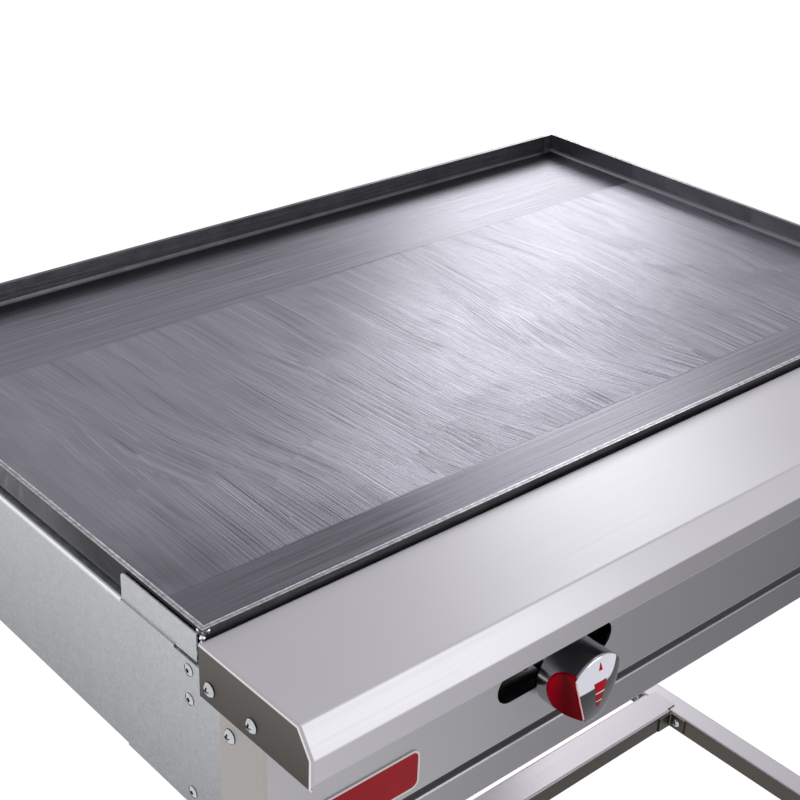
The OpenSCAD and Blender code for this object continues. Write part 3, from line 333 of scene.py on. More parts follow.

# Front shelf
# Folded 1.2 mm stainless sheet with a satin brushed face: flat top, bevel, upright front and
# ends closed over the legs. The ends are darker, and darkest towards the bottom.


def brushed_stainless(name, light, front=None, ends=None, roughness=0.34, spread=0.35, lit=None,
        bevel=None):
    """Stainless steel, brushed along X: fine lines, slow changes of tone, and light spread across them.

    The upright front faces get a painted shade that can darken towards the right, and a bevel above them
    has its own paler tone, a painted light.
    The ends have a tone from low to high, and lit is the distance from a folded edge of theirs
    that catches the light."""
    made, tree, shader, place = surface(name, Metallic=1.0, Anisotropic=spread)
    # Brush lines are 0.05 mm wide; they are drawn about 1.5 mm wide so that they show
    lines = put(tree, "TexNoise", {"Vector": put(
        tree, "VectorMath", {0: place, 1: (3, 420, 420)}, operation="MULTIPLY"),
        "Scale": 1, "Detail": 3, "Roughness": 0.6})
    clouds = put(tree, "TexNoise", {"Vector": place, "Scale": 5, "Detail": 2})
    grey = put(tree, "Math", {0: lines, 1: 0.12, 2: clouds}, operation="MULTIPLY_ADD")
    grey = put(tree, "MapRange", {
        "Value": grey, "From Min": 0.2, "From Max": 0.95, "To Min": 0.93, "To Max": 1.07})
    normal = put(tree, "NewGeometry").node.outputs["Normal"]
    facing = put(tree, "SeparateXYZ", {0: normal}).node.outputs
    at = put(tree, "SeparateXYZ", {0: place}).node.outputs
    tone = put(tree, "Mix", {
        "Factor": 1.0, "A": linear(light), "B": grey}, data_type="RGBA", blend_type="MULTIPLY")
    if bevel:
        # Painted light: the bevel takes its own paler tone
        sloping = put(tree, "MapRange", {"Value": facing[1], "From Min": -0.6, "From Max": -0.8})
        tone = put(tree, "Mix", {"Factor": sloping, "A": tone, "B": put(
            tree, "Mix", {"Factor": 1.0, "A": linear(bevel), "B": grey},
            data_type="RGBA", blend_type="MULTIPLY")}, data_type="RGBA")
    if front:
        # Painted shade: the upright front faces take their own tones from left to right
        along = put(tree, "MapRange", {"Value": at[0], "From Min": -0.45, "From Max": 0.25})
        painted_front_shade = put(tree, "ValToRGB", {"Fac": along})
        stops = painted_front_shade.node.color_ramp.elements
        stops[0].color, stops[1].color = linear(front[0]), linear(front[-1])
        for k, stop in enumerate(front[1:-1], 1):
            stops.new(k / (len(front) - 1)).color = linear(stop)
        painted_front_shade = put(tree, "Mix", {
            "Factor": 1.0, "A": painted_front_shade, "B": grey}, data_type="RGBA", blend_type="MULTIPLY")
        forwards = put(tree, "MapRange", {"Value": facing[1], "From Min": -0.85, "From Max": -0.98})
        tone = put(tree, "Mix", {"Factor": forwards, "A": tone, "B": painted_front_shade}, data_type="RGBA")
    if ends:
        sideways = put(tree, "Math", {0: facing[0]}, operation="ABSOLUTE")
        sideways = put(tree, "MapRange", {"Value": sideways, "From Min": 0.8, "From Max": 0.97})
        raised = put(tree, "MapRange", {
            "Value": at[2], "From Min": SHELF_TOP - END_FADE_H, "From Max": SHELF_TOP})
        end_tone = put(tree, "Mix", {
            "Factor": raised, "A": linear(ends[0]), "B": linear(ends[1])}, data_type="RGBA")
        if lit:
            glint = put(tree, "MapRange", {
                "Value": lit(tree, at), "From Min": 0.0032, "From Max": 0.0021})
            end_tone = put(tree, "Mix", {
                "Factor": glint, "A": end_tone, "B": linear("#f4f1f3")}, data_type="RGBA")
        tone = put(tree, "Mix", {"Factor": sideways, "A": tone, "B": end_tone}, data_type="RGBA")
    tree.links.new(tone, shader.inputs["Base Color"])
    tree.links.new(put(tree, "MapRange", {
        "Value": lines, "From Min": 0.3, "From Max": 0.7,
        "To Min": roughness - 0.015, "To Max": roughness + 0.015}), shader.inputs["Roughness"])
    tree.links.new(put(tree, "Bump", {
        "Height": lines, "Distance": 0.0001, "Strength": 0.02}), shader.inputs["Normal"])
    across = put(tree, "VectorMath", {0: normal, 1: (1, 0, 0)}, operation="CROSS_PRODUCT")
    tree.links.new(put(tree, "VectorMath", {
        0: across, 1: (0, 0.001, 0.001)}, operation="ADD"), shader.inputs["Tangent"])
    return made


SHELF_TOP, SHELF_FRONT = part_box("front_shelf")[1].z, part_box("front_shelf")[0].y
BEVEL_RUN, BEVEL_FALL, END_FADE_H = 0.013, 0.0195, 0.045


def from_nose(tree, at):
    """Distance below the shelf's outline: its flat top, its bevel or its front, the nearest."""
    slant = math.hypot(BEVEL_RUN, BEVEL_FALL)
    below = put(tree, "Math", {0: SHELF_TOP, 1: at[2]}, operation="SUBTRACT")
    behind = put(tree, "Math", {0: at[1], 1: SHELF_FRONT}, operation="SUBTRACT")
    under = put(tree, "Math", {
        0: behind, 1: BEVEL_FALL / slant, 2: -BEVEL_RUN * BEVEL_FALL / slant}, operation="MULTIPLY_ADD")
    under = put(tree, "Math", {0: below, 1: BEVEL_RUN / slant, 2: under}, operation="MULTIPLY_ADD")
    nearest = put(tree, "Math", {0: below, 1: behind}, operation="MINIMUM")
    return put(tree, "Math", {0: nearest, 1: under}, operation="MINIMUM")


finish(brushed_stainless("satin_stainless_shelf", "#b4b2b8", ("#b2b0b6", "#88868b", "#616064"),
    ("#3d3733", "#5b5551"), 0.44, 0.8, from_nose, "#bbb9bf"), "front_shelf")

# Control panel and rails
# Folded stainless strips, welded over the front of the legs. The panel has an oblong slot for
# each tap, and a rail closes the frame below it, across a gap that lets in air.
finish(brushed_stainless("satin_stainless_panel", "#a9a8ab", ("#aba9ad", "#7b7a7e", "#4a494d")),
    "control_panel")
finish(brushed_stainless("satin_stainless_rail", "#8e8d91", ("#97969b", "#727176", "#434247")),
    "front_rail", "rear_rail")

# Badge
# A printed metal label, bonded to the panel. It is blank here: a red field in a pale border.
BADGE_RADIUS, BORDER, PRINT_BLUR = 0.007, 0.0016, 0.0002
FIELD_RADIUS = BADGE_RADIUS - BORDER
label, tree, shader, place = surface("printed_label", Roughness=0.3, Specular_IOR_Level=0.08)
badge_low, badge_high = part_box("badge_plate")
badge_half = (badge_high - badge_low) / 2
away = put(tree, "VectorMath", {0: place, 1: (badge_low + badge_high) / 2}, operation="SUBTRACT")
away = put(tree, "VectorMath", {0: away}, operation="ABSOLUTE")
away = put(tree, "VectorMath", {
    0: away, 1: (badge_half.x - BADGE_RADIUS, 1, badge_half.z - BADGE_RADIUS)}, operation="SUBTRACT")
away = put(tree, "VectorMath", {0: away, 1: (0, 0, 0)}, operation="MAXIMUM")
away = put(tree, "VectorMath", {0: away}, operation="LENGTH")
in_border = put(tree, "MapRange", {
    "Value": away, "From Min": FIELD_RADIUS - PRINT_BLUR, "From Max": FIELD_RADIUS + PRINT_BLUR})
print_grain = put(tree, "TexNoise", {"Vector": place, "Scale": 45, "Detail": 3})
red_field = put(tree, "Mix", {
    "Factor": print_grain, "A": linear("#920b18"), "B": linear("#a51422")}, data_type="RGBA")
tree.links.new(put(tree, "Mix", {
    "Factor": in_border, "A": red_field, "B": linear("#e4dfe1")}, data_type="RGBA"),
    shader.inputs["Base Color"])
finish(label, "badge_plate")

# Casing and corner brackets
# Galvanised sheet round the burners, folded in at its edges and riveted to a bracket in each
# corner. The zinc has a fine, soft spangle and darker streaks from the bath.
galvanised, tree, shader, place = surface("galvanised_sheet", Metallic=1.0)
# Real spangle on this sheet is 2 to 4 mm across
spangle = put(tree, "TexVoronoi", {"Vector": place, "Scale": 330}).node.outputs["Color"]
spangle_tone = put(tree, "SeparateColor", {0: spangle})
mottle = put(tree, "TexNoise", {"Vector": place, "Scale": 620, "Detail": 3})
streaks = put(tree, "TexNoise", {"Vector": put(
    tree, "VectorMath", {0: place, 1: (30, 30, 5)}, operation="MULTIPLY"), "Scale": 1, "Detail": 3})
tone = put(tree, "Math", {0: mottle, 1: 0.8, 2: 0.185}, operation="MULTIPLY_ADD")
tone = put(tree, "Math", {0: spangle_tone, 1: 0.07, 2: tone}, operation="MULTIPLY_ADD")
tone = put(tree, "Math", {0: streaks, 1: 0.2, 2: tone}, operation="MULTIPLY_ADD")
# The sheet is palest along its top, and darker lower down
height = put(tree, "SeparateXYZ", {0: place}).node.outputs["Z"]
height = put(tree, "MapRange", {
    "Value": height, "From Min": 0.72, "From Max": 0.9, "To Min": -0.5, "To Max": 0.7})
tone = put(tree, "Math", {0: tone, 1: height}, operation="ADD")
tone = put(tree, "MapRange", {"Value": tone, "From Min": 0.1, "From Max": 1.4})
zinc_colour = put(tree, "Mix", {
    "Factor": tone, "A": linear("#8f9195"), "B": linear("#c6c8cb")}, data_type="RGBA")
# Painted highlight: sloping faces, such as the folds, are painted nearly white
slope = put(tree, "NewGeometry").node.outputs["Normal"]
slope = put(tree, "SeparateXYZ", {0: slope}).node.outputs["Z"]
painted_fold_highlight = put(tree, "MapRange", {"Value": slope, "From Min": 0.08, "From Max": 0.4})
flat = put(tree, "MapRange", {"Value": slope, "From Min": 0.99, "From Max": 0.9})
painted_fold_highlight = put(tree, "Math", {0: painted_fold_highlight, 1: flat}, operation="MULTIPLY")
tree.links.new(put(tree, "Mix", {
    "Factor": painted_fold_highlight, "A": zinc_colour, "B": linear("#f6f7f8")}, data_type="RGBA"),
    shader.inputs["Base Color"])
tree.links.new(put(tree, "MapRange", {
    "Value": spangle_tone, "To Min": 0.42, "To Max": 0.54}), shader.inputs["Roughness"])
tree.links.new(put(tree, "Bump", {
    "Height": mottle, "Distance": 0.0001, "Strength": 0.2}), shader.inputs["Normal"])
finish(galvanised, "rear_panel", "side_panel_left", "side_panel_right", "bracket_front_left",
    "bracket_front_right", "bracket_rear_left", "bracket_rear_right", "front_bulkhead",
    "front_rest_rail", "rear_rest_rail", "burner_support_bar", "manifold_brackets")

# Legs
# Angles folded from 2 mm stainless sheet, brushed lengthwise, screwed to the corner brackets.
leg_steel, tree, shader, place = surface("brushed_stainless_leg", Metallic=1.0)
# Drawn 2 mm wide so that the lines show
lines = put(tree, "TexNoise", {"Vector": put(
    tree, "VectorMath", {0: place, 1: (360, 360, 3)}, operation="MULTIPLY"),
    "Scale": 1, "Detail": 3, "Roughness": 0.6})
tree.links.new(put(tree, "Mix", {
    "Factor": lines, "A": linear("#9a9694"), "B": linear("#aeaaa8")}, data_type="RGBA"),
    shader.inputs["Base Color"])
tree.links.new(put(tree, "MapRange", {
    "Value": lines, "From Min": 0.3, "From Max": 0.7, "To Min": 0.26, "To Max": 0.38}),
    shader.inputs["Roughness"])
finish(leg_steel, "leg_front_left", "leg_front_right", "leg_rear_left", "leg_rear_right")

# Lower frame
# Two channels from front leg to rear leg and one between them, folded from 1.5 mm stainless
# and bolted. Tops are brushed pale; the folded sides are given a dark painted shade.
finish(brushed_stainless("satin_stainless_cross_bar", "#a19da3",
    ("#3f3b37", "#3f3b37"), ("#4a4641", "#4a4641"), 0.42, 0.0), "cross_stretcher")
finish(brushed_stainless("satin_stainless_side_bar", "#a8a5ac",
    ("#4a4641", "#4a4641"), ("#55514c", "#55514c"), 0.42, 0.0),
    "side_stretcher_left", "side_stretcher_right")
finish(brushed_stainless("satin_stainless_clip", "#6a6661",
    ("#4a4641", "#4a4641"), ("#4a4641", "#4a4641"), 0.42, 0.0), "stretcher_clips")

# Feet
# A zinc-plated threaded stem with a hexagon, in a moulded plastic pad that turns on it, and a
# threaded plate welded into the lower end of each leg.
FEET = [f"{end}_{side}" for end in ("front", "rear") for side in ("left", "right")]
# Moulded plastic: nearly black, with a fine dull grain
pad_plastic, tree, shader, place = surface("moulded_polyamide", Roughness=0.55)
moulded = put(tree, "TexNoise", {"Vector": place, "Scale": 900, "Detail": 2})
tree.links.new(put(tree, "Mix", {
    "Factor": moulded, "A": linear("#1f1f22"), "B": linear("#2e2e32")}, data_type="RGBA"),
    shader.inputs["Base Color"])
tree.links.new(put(tree, "Bump", {
    "Height": moulded, "Distance": 0.0002, "Strength": 0.3}), shader.inputs["Normal"])
finish(pad_plastic, *(f"foot_pad_{foot}" for foot in FEET))


def clouded(name, dark, pale, scale, roughness, detail=3, metallic=1.0):
    """A finish that is clouded between two tones and, if it has a pair of them, two roughnesses."""
    made, tree, shader, place = surface(name, Metallic=metallic)
    clouds = put(tree, "TexNoise", {"Vector": place, "Scale": scale, "Detail": detail})
    tree.links.new(put(tree, "Mix", {
        "Factor": clouds, "A": linear(dark), "B": linear(pale)}, data_type="RGBA"),
        shader.inputs["Base Color"])
    if isinstance(roughness, tuple):
        tree.links.new(put(tree, "MapRange", {
            "Value": clouds, "To Min": roughness[0], "To Max": roughness[1]}),
            shader.inputs["Roughness"])
    else:
        shader.inputs["Roughness"].default_value = roughness
    return made


# Bright zinc plate: pale and bluish, with a faint cloudiness
zinc_plate = clouded("bright_zinc_plate", "#b4b8bd", "#e3e6ea", 260, (0.16, 0.34))
finish(zinc_plate, "air_shutter_left", "air_shutter_right", "push_washer_left",
    "push_washer_right", "tap_spindle_left", "tap_spindle_right")
finish(leg_steel, "foot_sockets")

# Corners round each nut and thread, and the height of a nut's chamfer
ROUND, CHAMFER = 36, 0.0006


def hexagon(mesh, start, outward, flats, height, turn=0.0):
    """Adds a nut with chamfered corners, from start along outward."""
    turned = Vector(outward).to_track_quat("Z", "Y").to_matrix()
    corner = flats / math.sqrt(3)
    levels = []
    for lift, size in ((0, flats / 2), (CHAMFER, corner), (height - CHAMFER, corner), (height, flats / 2)):
        ring = []
        for k in range(ROUND):
            angle = math.tau * k / ROUND
            side = (angle + math.pi / 6) % (math.pi / 3) - math.pi / 6
            r = min(size, flats / 2 / math.cos(side))
            ring.append(mesh.verts.new(Vector(start) + turned @ Vector(
                (r * math.cos(angle + turn), r * math.sin(angle + turn), lift))))
        levels.append(ring)
    for low, high in zip(levels, levels[1:]):
        for k in range(ROUND):
            j = (k + 1) % ROUND
            mesh.faces.new((low[k], low[j], high[j], high[k]))
    mesh.faces.new(levels[0][::-1])
    mesh.faces.new(levels[-1])


def threaded_rod(mesh, centre, low, high, r, pitch, depth, bore=0.0):
    """Adds an upright rod with a right-hand thread and chamfered ends, and a bore if it has one."""
    per_turn = 6
    rows = round((high - low) / pitch * per_turn)

    def ring(height, radius_at):
        return [mesh.verts.new((centre.x + radius_at(k) * math.cos(math.tau * k / ROUND),
            centre.y + radius_at(k) * math.sin(math.tau * k / ROUND), height)) for k in range(ROUND)]

    made = []
    for row in range(rows + 1):
        height = low + (high - low) * row / rows
        full = min(1, row / per_turn, (rows - row) / per_turn)
        made.append(ring(height, lambda k: r - depth * (1 - full * abs(
            2 * ((height / pitch - k / ROUND) % 1) - 1))))
    if bore:
        made = [ring(high, lambda k: bore), *made[::-1], ring(low, lambda k: bore)]
        made.append(made[0])
    for near, far in zip(made, made[1:]):
        for k in range(ROUND):
            j = (k + 1) % ROUND
            mesh.faces.new((near[k], near[j], far[j], far[k])).smooth = True
    if not bore:
        mesh.faces.new(made[0][::-1])
        mesh.faces.new(made[-1])


STEM_R, STEM_PITCH, STEM_THREAD, STEM_FLATS, STEM_HEX_H = 0.005, 0.0015, 0.0009, 0.017, 0.008
for foot in FEET:
    stem_low, stem_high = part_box(f"foot_stem_{foot}")
    middle = (stem_low + stem_high) / 2
    stem = bmesh.new()
    threaded_rod(stem, middle, stem_low.z, stem_high.z, STEM_R, STEM_PITCH, STEM_THREAD)
    hexagon(stem, (middle.x, middle.y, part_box(f"foot_pad_{foot}")[1].z), (0, 0, 1),
        STEM_FLATS, STEM_HEX_H, math.pi / 6)
    stem = as_piece(f"threaded_stem_{foot}", stem, zinc_plate, f"foot_{foot}", smooth=None)
    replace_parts(stem, f"foot_stem_{foot}")

# Screws, bolts and rivets
# Zinc-plated pan-head screws with a cross recess hold the shelf and the legs, bolts and nuts
# hold the lower frame, and blind rivets with a hollow centre hold the casing.


def solids_of(node):
    """Lowest and highest corner of each separate solid of a CAD node."""
    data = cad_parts[node].data
    group = {}
    root = {}

    def top(key):
        while root[key] != key:
            root[key] = root[root[key]]
            key = root[key]
        return key

    keys = [tuple(round(c * 1e5) for c in v.co) for v in data.vertices]
    for key in keys:
        root.setdefault(key, key)
    for face in data.polygons:
        first = top(keys[face.vertices[0]])
        for corner in face.vertices[1:]:
            root[top(keys[corner])] = first
    for key, v in zip(keys, data.vertices):
        group.setdefault(top(key), []).append(v.co)
    return [tuple(Vector(pick(c[i] for c in points) for i in range(3)) for pick in (min, max))
        for _, points in sorted(group.items())]


CROSS_HALF, CROSS_REACH, CROSS_DEPTH = 0.00075, 0.0029, 0.0019
RIVET_BORE_R, RIVET_BORE_DEPTH = 0.0016, 0.0011


def screw_recess(across, up):
    """Depth of a cross recess at a point of a screw head: deepest in the middle."""
    near, far = sorted((abs(across), abs(up)))
    inside = near <= CROSS_HALF and far <= CROSS_REACH
    return CROSS_DEPTH * (1 - 0.55 * far / CROSS_REACH) if inside else 0.0


def rivet_recess(across, up):
    """Depth of a rivet's hollow centre at a point of its head."""
    return RIVET_BORE_DEPTH if math.hypot(across, up) <= RIVET_BORE_R else 0.0


def pin(mesh, seat, outward, head_r, head_h, shank_r, reach, recess):
    """Adds a screw or rivet: a domed head with its recess, and a round shank behind it.

    The recess and the outer edge of the head take the second material, a painted shade."""
    dome_r = (head_r ** 2 + head_h ** 2) / (2 * head_h)
    turned = Vector(outward).to_track_quat("Z", "Y").to_matrix()
    segments, dome_rows, edge_h, tip = 64, 22, 0.0004, 0.0005
    rows = []
    for step in range(dome_rows + 1):
        r = head_r * step / dome_rows
        height = head_h - dome_r + math.sqrt(max(dome_r ** 2 - r ** 2, 0))
        if step == dome_rows:
            height = edge_h
        ring = []
        for k in range(segments if step else 1):
            across, up = r * math.cos(math.tau * k / segments), r * math.sin(math.tau * k / segments)
            ring.append(Vector((across, up, height - recess(across, up))))
        rows.append(ring)
    for r, height in ((head_r, 0), (shank_r, 0), (shank_r, -reach + tip), (shank_r - tip, -reach)):
        rows.append([Vector((r * math.cos(math.tau * k / segments),
            r * math.sin(math.tau * k / segments), height)) for k in range(segments)])
    made = [[mesh.verts.new(Vector(seat) + turned @ co) for co in ring] for ring in rows]
    for inner, outer, ring in zip(made, made[1:], rows):
        for k in range(segments):
            j = (k + 1) % segments
            if len(inner) == 1:
                face = mesh.faces.new((inner[0], outer[k], outer[j]))
            else:
                face = mesh.faces.new((inner[k], outer[k], outer[j], inner[j]))
            sunk = recess(*ring[k % len(ring)].xy) > 0 and len(outer) == segments
            at_edge = inner in made[dome_rows - 1:dome_rows + 1]
            face.material_index = 1 if sunk or at_edge else 0
    mesh.faces.new(made[-1][::-1])


# Fasteners: darker zinc than the feet, with a painted shade in the recesses and round the edge of each
# head
zinc_fastener = clouded("zinc_plated_fastener", "#a0a5aa", "#d4d8dc", 300, (0.14, 0.26))
painted_recess_shade = clouded("zinc_with_painted_shade", "#1d1e20", "#3a3c3f", 500, 0.5, detail=2)
FASTENER = (zinc_fastener, painted_recess_shade)
HEAD_R, HEAD_H, SHANK_R = 0.0055, 0.0032, 0.003
for node in ("shelf_screws", "leg_screws"):
    screws = bmesh.new()
    for low, high in solids_of(node):
        side = 1 if high.x > 0 else -1
        seat = (low + high) / 2
        tip = low.x if side > 0 else high.x
        seat.x = (high.x if side > 0 else low.x) - side * HEAD_H
        pin(screws, seat, (side, 0, 0), HEAD_R, HEAD_H, SHANK_R, abs(seat.x - tip), screw_recess)
    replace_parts(as_piece(node + "_cross_recess", screws, FASTENER), node)

# Rivets beyond SIDE_X hold a side panel, and the others the rear panel
RIVET_R, RIVET_H, RIVET_SHANK_R, SIDE_X = 0.0046, 0.0014, 0.002, 0.42
rivets = bmesh.new()
for low, high in solids_of("panel_rivets"):
    middle = (low + high) / 2
    at_side = abs(middle.x) > SIDE_X
    outward = Vector((math.copysign(1, middle.x), 0, 0)) if at_side else Vector((0, 1, 0))
    span = abs((high - low).dot(outward))
    seat = middle + outward * (span / 2 - RIVET_H)
    pin(rivets, seat, outward, RIVET_R, RIVET_H, RIVET_SHANK_R, span - RIVET_H, rivet_recess)
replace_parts(as_piece("blind_rivets", rivets, FASTENER), "panel_rivets")

# Bolts farther than LEG_REACH from the cross bar sit at the legs, with their heads outwards
NUT_FLATS, NUT_H, NUT_OVERHANG, LEG_REACH = 0.01, 0.0048, 0.001, 0.2
cross_bar_y = sum(corner.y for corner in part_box("cross_stretcher")) / 2
bolts = bmesh.new()
for low, high in solids_of("stretcher_bolts"):
    middle = (low + high) / 2
    at_leg = abs(middle.y - cross_bar_y) > LEG_REACH
    outward = Vector((math.copysign(1, middle.x) * (1 if at_leg else -1), 0, 0))
    span = high.x - low.x
    seat = middle + outward * (span / 2 - HEAD_H)
    pin(bolts, seat, outward, HEAD_R, HEAD_H, SHANK_R, span - HEAD_H, screw_recess)
    nut_start = middle - outward * (span / 2 - NUT_OVERHANG)
    hexagon(bolts, nut_start, outward, NUT_FLATS, NUT_H)
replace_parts(as_piece("stretcher_bolts_and_nuts", bolts, FASTENER), "stretcher_bolts")

# Gas manifold and inlet
# A plain drawn steel pipe along the front of the burners, held by folded straps, and turned
# down at the right to a brass union with the thread for the hose.
# Drawn tube: mid grey, with duller patches where some scale is left
pipe_steel = clouded("drawn_steel_tube", "#6b6a6c", "#98979a", 30, (0.3, 0.55), detail=4)
finish(pipe_steel, "manifold_pipe")

# Brass, turned on a lathe: a warm yellow, a little uneven where it has tarnished
turned_brass = clouded("turned_brass", "#a8873f", "#d0b267", 120, (0.22, 0.4))
finish(turned_brass, "gas_tap_left", "gas_tap_right", "injector_left", "injector_right")

UNION_FLATS, UNION_HEX_H, UNION_BORE_R = 0.024, 0.01, 0.0081
THREAD_R, THREAD_PITCH, THREAD_DEPTH = 0.01048, 0.001814, 0.00116
union_low, union_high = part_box("gas_inlet")
middle = (union_low + union_high) / 2
union = bmesh.new()
threaded_rod(union, middle, union_low.z, union_high.z - UNION_HEX_H, THREAD_R, THREAD_PITCH,
    THREAD_DEPTH, UNION_BORE_R)
hexagon(union, (middle.x, middle.y, union_high.z - UNION_HEX_H), (0, 0, 1),
    UNION_FLATS, UNION_HEX_H, math.pi / 6)
union = as_piece("threaded_union", union, turned_brass, smooth=None)
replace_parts(union, "gas_inlet")

# Burners
# Welded steel tubes with rows of ports, dulled blue and brown by heat in broad patches.
heated_steel = clouded("heat_dulled_steel_tube", "#4c4a52", "#7b6f63", 14, (0.4, 0.65), detail=4)
finish(heated_steel, "burner_left", "burner_right")

# Knobs
# Moulded plastic, chromium plated, with a red inlay pressed into the scoop at each side. The
# front is crowned, with a painted reflection bright above and dark below, and carries a pointer and a
# level mark in red.
KNOB_X, KNOB_Z, KNOB_FACE = 0.187, 0.795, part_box("knob_left")[0].y
chrome, tree, shader, place = surface("chromium_plated_abs", Metallic=1.0, Roughness=0.17)
x, y, z = put(tree, "SeparateXYZ", {0: place}).node.outputs
side = put(tree, "Math", {0: x}, operation="SIGN")
across = put(tree, "Math", {0: side, 1: -KNOB_X, 2: x}, operation="MULTIPLY_ADD")
up = put(tree, "Math", {0: z, 1: KNOB_Z}, operation="SUBTRACT")
# The line between the bright and the dark part of the painted reflection is nearly level, and sweeps up
# near the right edge
LINE_Z, LINE_SLOPE, LINE_BLUR = 0.0059, 0.12, 0.0005
SWEEP_X, SWEEP_Z, SWEEP_POWER = 0.0178, 0.0127, 4.4
sweep = put(tree, "Math", {0: across, 1: SWEEP_X}, operation="DIVIDE")
sweep = put(tree, "Math", {0: sweep, 1: 0.0}, operation="MAXIMUM")
sweep = put(tree, "Math", {0: sweep, 1: SWEEP_POWER}, operation="POWER")
line = put(tree, "Math", {0: across, 1: LINE_SLOPE, 2: LINE_Z}, operation="MULTIPLY_ADD")
line = put(tree, "Math", {0: sweep, 1: SWEEP_Z, 2: line}, operation="MULTIPLY_ADD")
above = put(tree, "Math", {0: up, 1: line}, operation="SUBTRACT")
painted_dark_reflection = put(tree, "MapRange", {"Value": above, "From Min": LINE_BLUR, "From Max": -LINE_BLUR})
# What stands proud of the flat face is the crown, whose paler tone is the bright part of the painted
# reflection
at_face = put(tree, "Math", {0: y, 1: KNOB_FACE - 0.0003}, operation="LESS_THAN")
painted_dark_reflection = put(tree, "Math", {0: painted_dark_reflection, 1: at_face}, operation="MULTIPLY")
body_tone = put(tree, "Mix", {
    "Factor": at_face, "A": linear("#b4b4b9"), "B": linear("#cdced7")}, data_type="RGBA")
tree.links.new(put(tree, "Mix", {
    "Factor": painted_dark_reflection, "A": body_tone, "B": linear("#3c3c40")}, data_type="RGBA"),
    shader.inputs["Base Color"])
finish(chrome, "knob_left", "knob_right")

# Glossy plastic of a full red
INLAY_LOW, INLAY_HIGH, INLAY_MIDDLE, INLAY_HALF = KNOB_Z - 0.02, KNOB_Z + 0.024, KNOB_FACE + 0.0105, 0.009
red_inlay, tree, shader, place = surface("red_gloss_inlay", Roughness=0.25, Specular_IOR_Level=0.03)
_, y, z = put(tree, "SeparateXYZ", {0: place}).node.outputs
depth = put(tree, "TexNoise", {"Vector": place, "Scale": 30, "Detail": 2})
# The red is darker towards the scoop's lower end
depth = put(tree, "Math", {0: depth, 1: 0.012, 2: z}, operation="MULTIPLY_ADD")
depth = put(tree, "MapRange", {
    "Value": depth, "From Min": INLAY_LOW, "From Max": INLAY_HIGH, "To Min": 0.25})
# Painted shade: the hollow middle of the scoop is painted darkest
hollow = put(tree, "Math", {0: y, 1: INLAY_MIDDLE}, operation="SUBTRACT")
hollow = put(tree, "Math", {0: hollow}, operation="ABSOLUTE")
hollow = put(tree, "MapRange", {
    "Value": hollow, "From Max": INLAY_HALF, "To Min": 0.15}, interpolation_type="SMOOTHSTEP")
depth = put(tree, "Math", {0: depth, 1: hollow}, operation="MULTIPLY")
tree.links.new(put(tree, "Mix", {
    "Factor": depth, "A": linear("#5e000e"), "B": linear("#c40020")}, data_type="RGBA"),
    shader.inputs["Base Color"])
finish(red_inlay, "knob_inlays_left", "knob_inlays_right")

# The polished edge of the left scoop has a painted pink highlight, a reflection of the inlay's red, and
# the print is off-white
painted_edge_highlight = clouded("chrome_edge_painted_highlight", "#bd8f98", "#d8b4ba", 400, 0.25, detail=2)
white_print = clouded("white_print", "#d8cfd3", "#efe9ec", 400, 0.35, detail=2, metallic=0.0)

# Crowned front of a knob between its scoops, in millimetres: half its width, from low to high
CROWN = [(0, -28.3), (5, -27.9), (9.6, -26.4), (10.8, -23.3), (13.5, -17), (15.8, -11), (18.4, -4),
    (20, 2), (21.5, 7.5), (22.6, 12), (23, 16.5), (21.4, 18.8), (18, 22.1), (13.5, 25.1), (8, 27.3),
    (0, 28.4)]
SCOOPED = range(3, 10)
CROWN_FOOT, CROWN_EDGE, CROWN_RISE, CROWN_R = -0.3, 0.7, 3.6, 28.5
# Rings of the crown, from its rounded edge inwards: share of the outline's size, and drop
RINGS = ((1, 0.75), (0.99, 0.3), (0.965, 0.06), (0.93, 0), (0.75, 0), (0.5, 0), (0.25, 0))
PRINT_H, PRINT_CELLS = 0.12, 6


def crown_height(px, pz):
    """Height of the crown above the knob's flat face, in millimetres."""
    return CROWN_RISE * (1 - (px ** 2 + pz ** 2) / CROWN_R ** 2) + CROWN_EDGE


def on_knob(sign, px, pz, height):
    """A point over the face of the left or the right knob, given in millimetres from its axis."""
    return Vector((sign * KNOB_X + px / 1000, KNOB_FACE - height / 1000, KNOB_Z + pz / 1000))


# Pointer and level mark, each with four corners, from the lower left round to the upper left
MARKS = [
    [(-1.9, 17.8), (1.9, 17.8), (0.3, 23.8), (-0.3, 23.8)],
    [(-4.9, 0.2), (5.0, 0.2), (6.3, 8.6), (-6.6, 8.6)],
    [(-2.9, -7.8), (3.4, -7.8), (4.6, -2.0), (-4.4, -2.0)],
    [(-1.0, -14.6), (1.6, -14.6), (3.0, -9.6), (-2.4, -9.6)],
]
